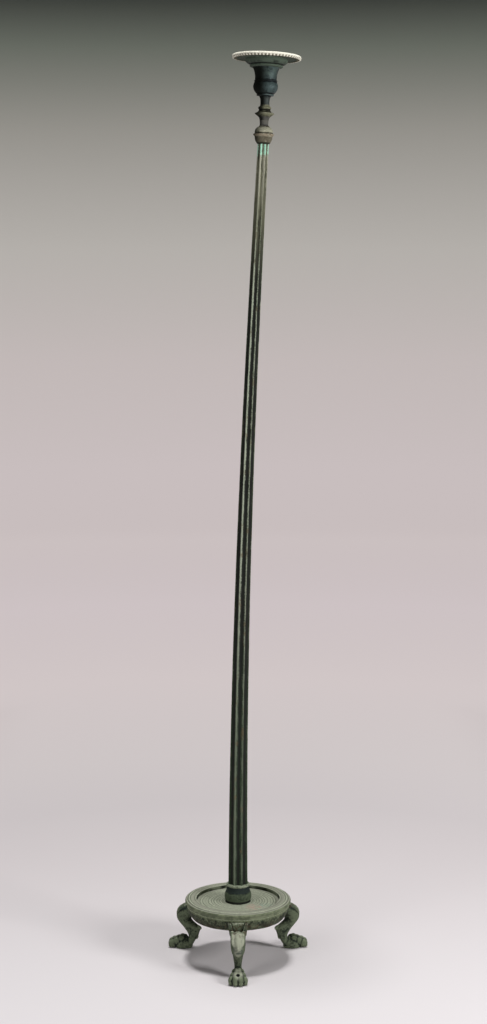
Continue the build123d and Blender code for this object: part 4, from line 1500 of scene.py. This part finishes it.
# The paper is a little lighter at the front than at the back: a painted pool of light on the floor.
FLOOR_FRONT = (0.655, 0.622, 0.632)
FLOOR_BACK = (0.61, 0.565, 0.572)
PAPER_FAR = (0.2, 0.192, 0.194)
# The backdrop's brightness against the way out from the axis and up, in metres
GLOW = (
    (0.85, (0.0, 0.0, 0.0)),
    (1.2, (0.075, 0.066, 0.06)),
    (2.0, (0.215, 0.18, 0.175)),
    (3.2, (0.335, 0.288, 0.294)),
    (4.8, (0.43, 0.378, 0.376)),
    (6.4, (0.435, 0.383, 0.383)),
    (7.8, (0.402, 0.359, 0.349)),
    (9.0, (0.325, 0.312, 0.284)),
    (10.1, (0.189, 0.187, 0.16)),
    (10.75, (0.071, 0.086, 0.064)),
    (11.1, (0.0, 0.006, 0.0)),
)
GLOW_REACH = 12.0


def softbox(name, place, aim, size, power):
    """A round area light that looks at a point and stays out of the picture."""
    start_clean()
    bpy.ops.object.light_add(type="AREA", location=place)
    lamp = bpy.context.object
    lamp.name = name
    lamp.data.shape = "DISK"
    lamp.data.size = size
    lamp.data.energy = power
    lamp.visible_camera = False
    lamp.rotation_mode = "QUATERNION"
    lamp.rotation_quaternion = (Vector(aim) - Vector(place)).to_track_quat("-Z", "Y")


def sweep_mesh(settings):
    """A round floor that curves up into a backdrop all the way round."""
    start_clean()
    radius, level = settings.sweep_radius, FLOOR_LEVEL
    bpy.ops.mesh.primitive_circle_add(vertices=128, radius=radius, fill_type="NGON", location=(0, 0, level))
    sweep = bpy.context.object
    sweep.name = sweep.data.name = "studio_sweep"
    settle(sweep)
    edit(sweep)
    depth = settings.wall_radius - radius
    halfway = math.sqrt(0.5)
    middle = (radius + depth * halfway, settings.wall_foot * (1 - halfway))
    line = arc((radius, level), middle, (settings.wall_radius, settings.wall_foot), 20)[1:]
    for new_radius, new_level in line + [(settings.wall_radius, settings.wall_top)]:
        bpy.ops.mesh.extrude_edges_move(TRANSFORM_OT_translate={"value": (0, 0, new_level - level)})
        spread = new_radius / radius
        bpy.ops.transform.resize(value=(spread, spread, 1), center_override=(0, 0, new_level))
        radius, level = new_radius, new_level
    bpy.ops.mesh.select_all(action="SELECT")
    bpy.ops.mesh.normals_make_consistent(inside=True)
    bpy.ops.object.mode_set(mode="OBJECT")
    smooth(sweep)
    return sweep


def seen_rays(tree):
    """A mask that is 1 for what the camera sees, straight or in a reflection."""
    rays = tree.nodes.new("ShaderNodeLightPath").outputs
    seen = sums(tree, "MAXIMUM", rays["Is Camera Ray"], rays["Is Glossy Ray"])
    return sums(tree, "MAXIMUM", seen, rays["Is Transmission Ray"])


def sweep_paper():
    """Pale paper that glows where the camera sees it and is clear from behind."""
    paper = bpy.data.materials.new("studio_paper")
    paper.use_nodes = True
    tree = paper.node_tree
    shader = tree.nodes["Principled BSDF"]
    shader.inputs["Roughness"].default_value = 0.9
    shader.inputs["Specular IOR Level"].default_value = 0.1
    axes = split_up(tree, place_of(tree))
    # Painted light: the floor is lighter towards the front.
    floor = mixed(tree, band(tree, axes["Y"], -0.25, 0.6), FLOOR_FRONT, FLOOR_BACK)
    floor = mixed(tree, band(tree, axes["Z"], 1.5, 2.9), floor, PAPER_FAR)
    ahead = band(tree, axes["Y"], -1.1, -0.45)
    beside = band(tree, sums(tree, "ABSOLUTE", axes["X"], 0.0), 0.45, 1.2, 1.0, 0.0)
    beside = sums(tree, "MAXIMUM", beside, band(tree, axes["Y"], 0.6, 1.8))
    near = sums(tree, "MULTIPLY", ahead, beside)
    floor = mixed(tree, near, PAPER_FAR, floor)
    tree.links.new(floor, shader.inputs["Base Color"])
    glow = tree.nodes.new("ShaderNodeValToRGB")
    while len(glow.color_ramp.elements) < len(GLOW):
        glow.color_ramp.elements.new(0.5)
    for element, (reach, shade) in zip(glow.color_ramp.elements, GLOW):
        element.position = reach / GLOW_REACH
        element.color = (*shade, 1)
    reach = sums(tree, "ADD", distance_from(tree, (0, 0, 0), (1, 1, 0)), axes["Z"])
    tree.links.new(sums(tree, "DIVIDE", reach, GLOW_REACH), glow.inputs["Fac"])
    seen = sums(tree, "MULTIPLY", seen_rays(tree), band(tree, near, 0.0, 1.0, 0.8, 1.0))
    shown = mixed(tree, seen, (0, 0, 0), glow.outputs["Color"])
    tree.links.new(shown, shader.inputs["Emission Color"])
    shader.inputs["Emission Strength"].default_value = 1.0
    clear = tree.nodes.new("ShaderNodeBsdfTransparent")
    pane = tree.nodes.new("ShaderNodeMixShader")
    geometry = tree.nodes.new("ShaderNodeNewGeometry")
    tree.links.new(geometry.outputs["Backfacing"], pane.inputs[0])
    tree.links.new(shader.outputs["BSDF"], pane.inputs[1])
    tree.links.new(clear.outputs["BSDF"], pane.inputs[2])
    tree.links.new(pane.outputs[0], tree.nodes["Material Output"].inputs["Surface"])
    return paper


def studio_air(scene):
    """Soft light from all round, darker where the camera sees past the backdrop."""
    world = bpy.data.worlds.new("studio_air")
    scene.world = world
    world.use_nodes = True
    tree = world.node_tree
    air = mixed(tree, seen_rays(tree), (0.11, 0.11, 0.11), (0.05, 0.055, 0.044))
    tree.links.new(air, tree.nodes["Background"].inputs["Color"])
    tree.nodes["Background"].inputs["Strength"].default_value = 1.0


def photo_camera(scene, settings):
    """The camera of the picture: 36 mm over its longer side."""
    bpy.ops.object.camera_add(location=(0, -settings.camera_distance, settings.camera_height))
    camera = bpy.context.object
    camera.name = "photo_camera"
    camera.rotation_euler = (math.pi / 2 - settings.camera_tilt, 0, -settings.camera_turn)
    camera.data.sensor_width = 36
    camera.data.lens = settings.focal_length
    camera.data.clip_start = 0.05
    camera.data.clip_end = 60
    scene.camera = camera


class LAMP_OT_stage(bpy.types.Operator):
    """Plain pale floor that rises all round to a backdrop, three softboxes and the camera"""

    bl_idname = "lamp_stand.stage"
    bl_label = "Stage"

    def execute(self, context):
        settings = context.scene.lamp_stage
        sweep = sweep_mesh(settings)
        sweep.data.materials.append(sweep_paper())
        softbox("side_softbox", (1.78, -1.22, 1.12), (0, 0, 0.7), 0.8, settings.key_power)
        softbox("fill_softbox", (-1.7, -2.0, 1.1), (0, 0, 0.1), 1.1, settings.fill_power)
        softbox("top_softbox", (0.0, 0.03, 4.4), (0, 0, 0.0), 0.7, settings.top_power)
        studio_air(context.scene)
        photo_camera(context.scene, settings)
        context.scene.view_settings.view_transform = "Standard"
        return {"FINISHED"}


OPERATORS = (
    LAMP_OT_stage,
    LAMP_OT_disc,
    LAMP_OT_skirt,
    LAMP_OT_collar,
    LAMP_OT_shaft,
    LAMP_OT_knop,
    LAMP_OT_spool,
    LAMP_OT_bowl,
    LAMP_OT_mouth,
    LAMP_OT_plate,
    LAMP_OT_rim,
    LAMP_OT_legs,
    LAMP_OT_ironwork,
)


class LAMP_PT_panel(bpy.types.Panel):
    """Lists the settings and the operators of the lamp stand"""

    bl_idname = "LAMP_PT_panel"
    bl_label = "Roman Lamp Stand"
    bl_space_type = "VIEW_3D"
    bl_region_type = "UI"
    bl_category = "Lamp Stand"

    def draw(self, context):
        for name, group in SETTINGS.items():
            box = self.layout.box()
            box.label(text=group.__doc__.rstrip("."))
            for key in group.__annotations__:
                box.prop(getattr(context.scene, name), key)
        for operator in OPERATORS:
            self.layout.operator(operator.bl_idname)


def register():
    """Adds the settings, the operators and the panel to Blender."""
    for group in SETTINGS.values():
        bpy.utils.register_class(group)
    for name, group in SETTINGS.items():
        setattr(bpy.types.Scene, name, PointerProperty(type=group))
    for operator in (*OPERATORS, LAMP_PT_panel):
        bpy.utils.register_class(operator)


def unregister():
    """Takes them out again."""
    for operator in (LAMP_PT_panel, *reversed(OPERATORS)):
        bpy.utils.unregister_class(operator)
    for name, group in reversed(SETTINGS.items()):
        delattr(bpy.types.Scene, name)
        bpy.utils.unregister_class(group)


def main():
    """Makes every piece and the stage."""
    register()
    for operator in OPERATORS:
        group, name = operator.bl_idname.split(".")
        getattr(getattr(bpy.ops, group), name)()
    start_clean()


if __name__ == "__main__":
    main()
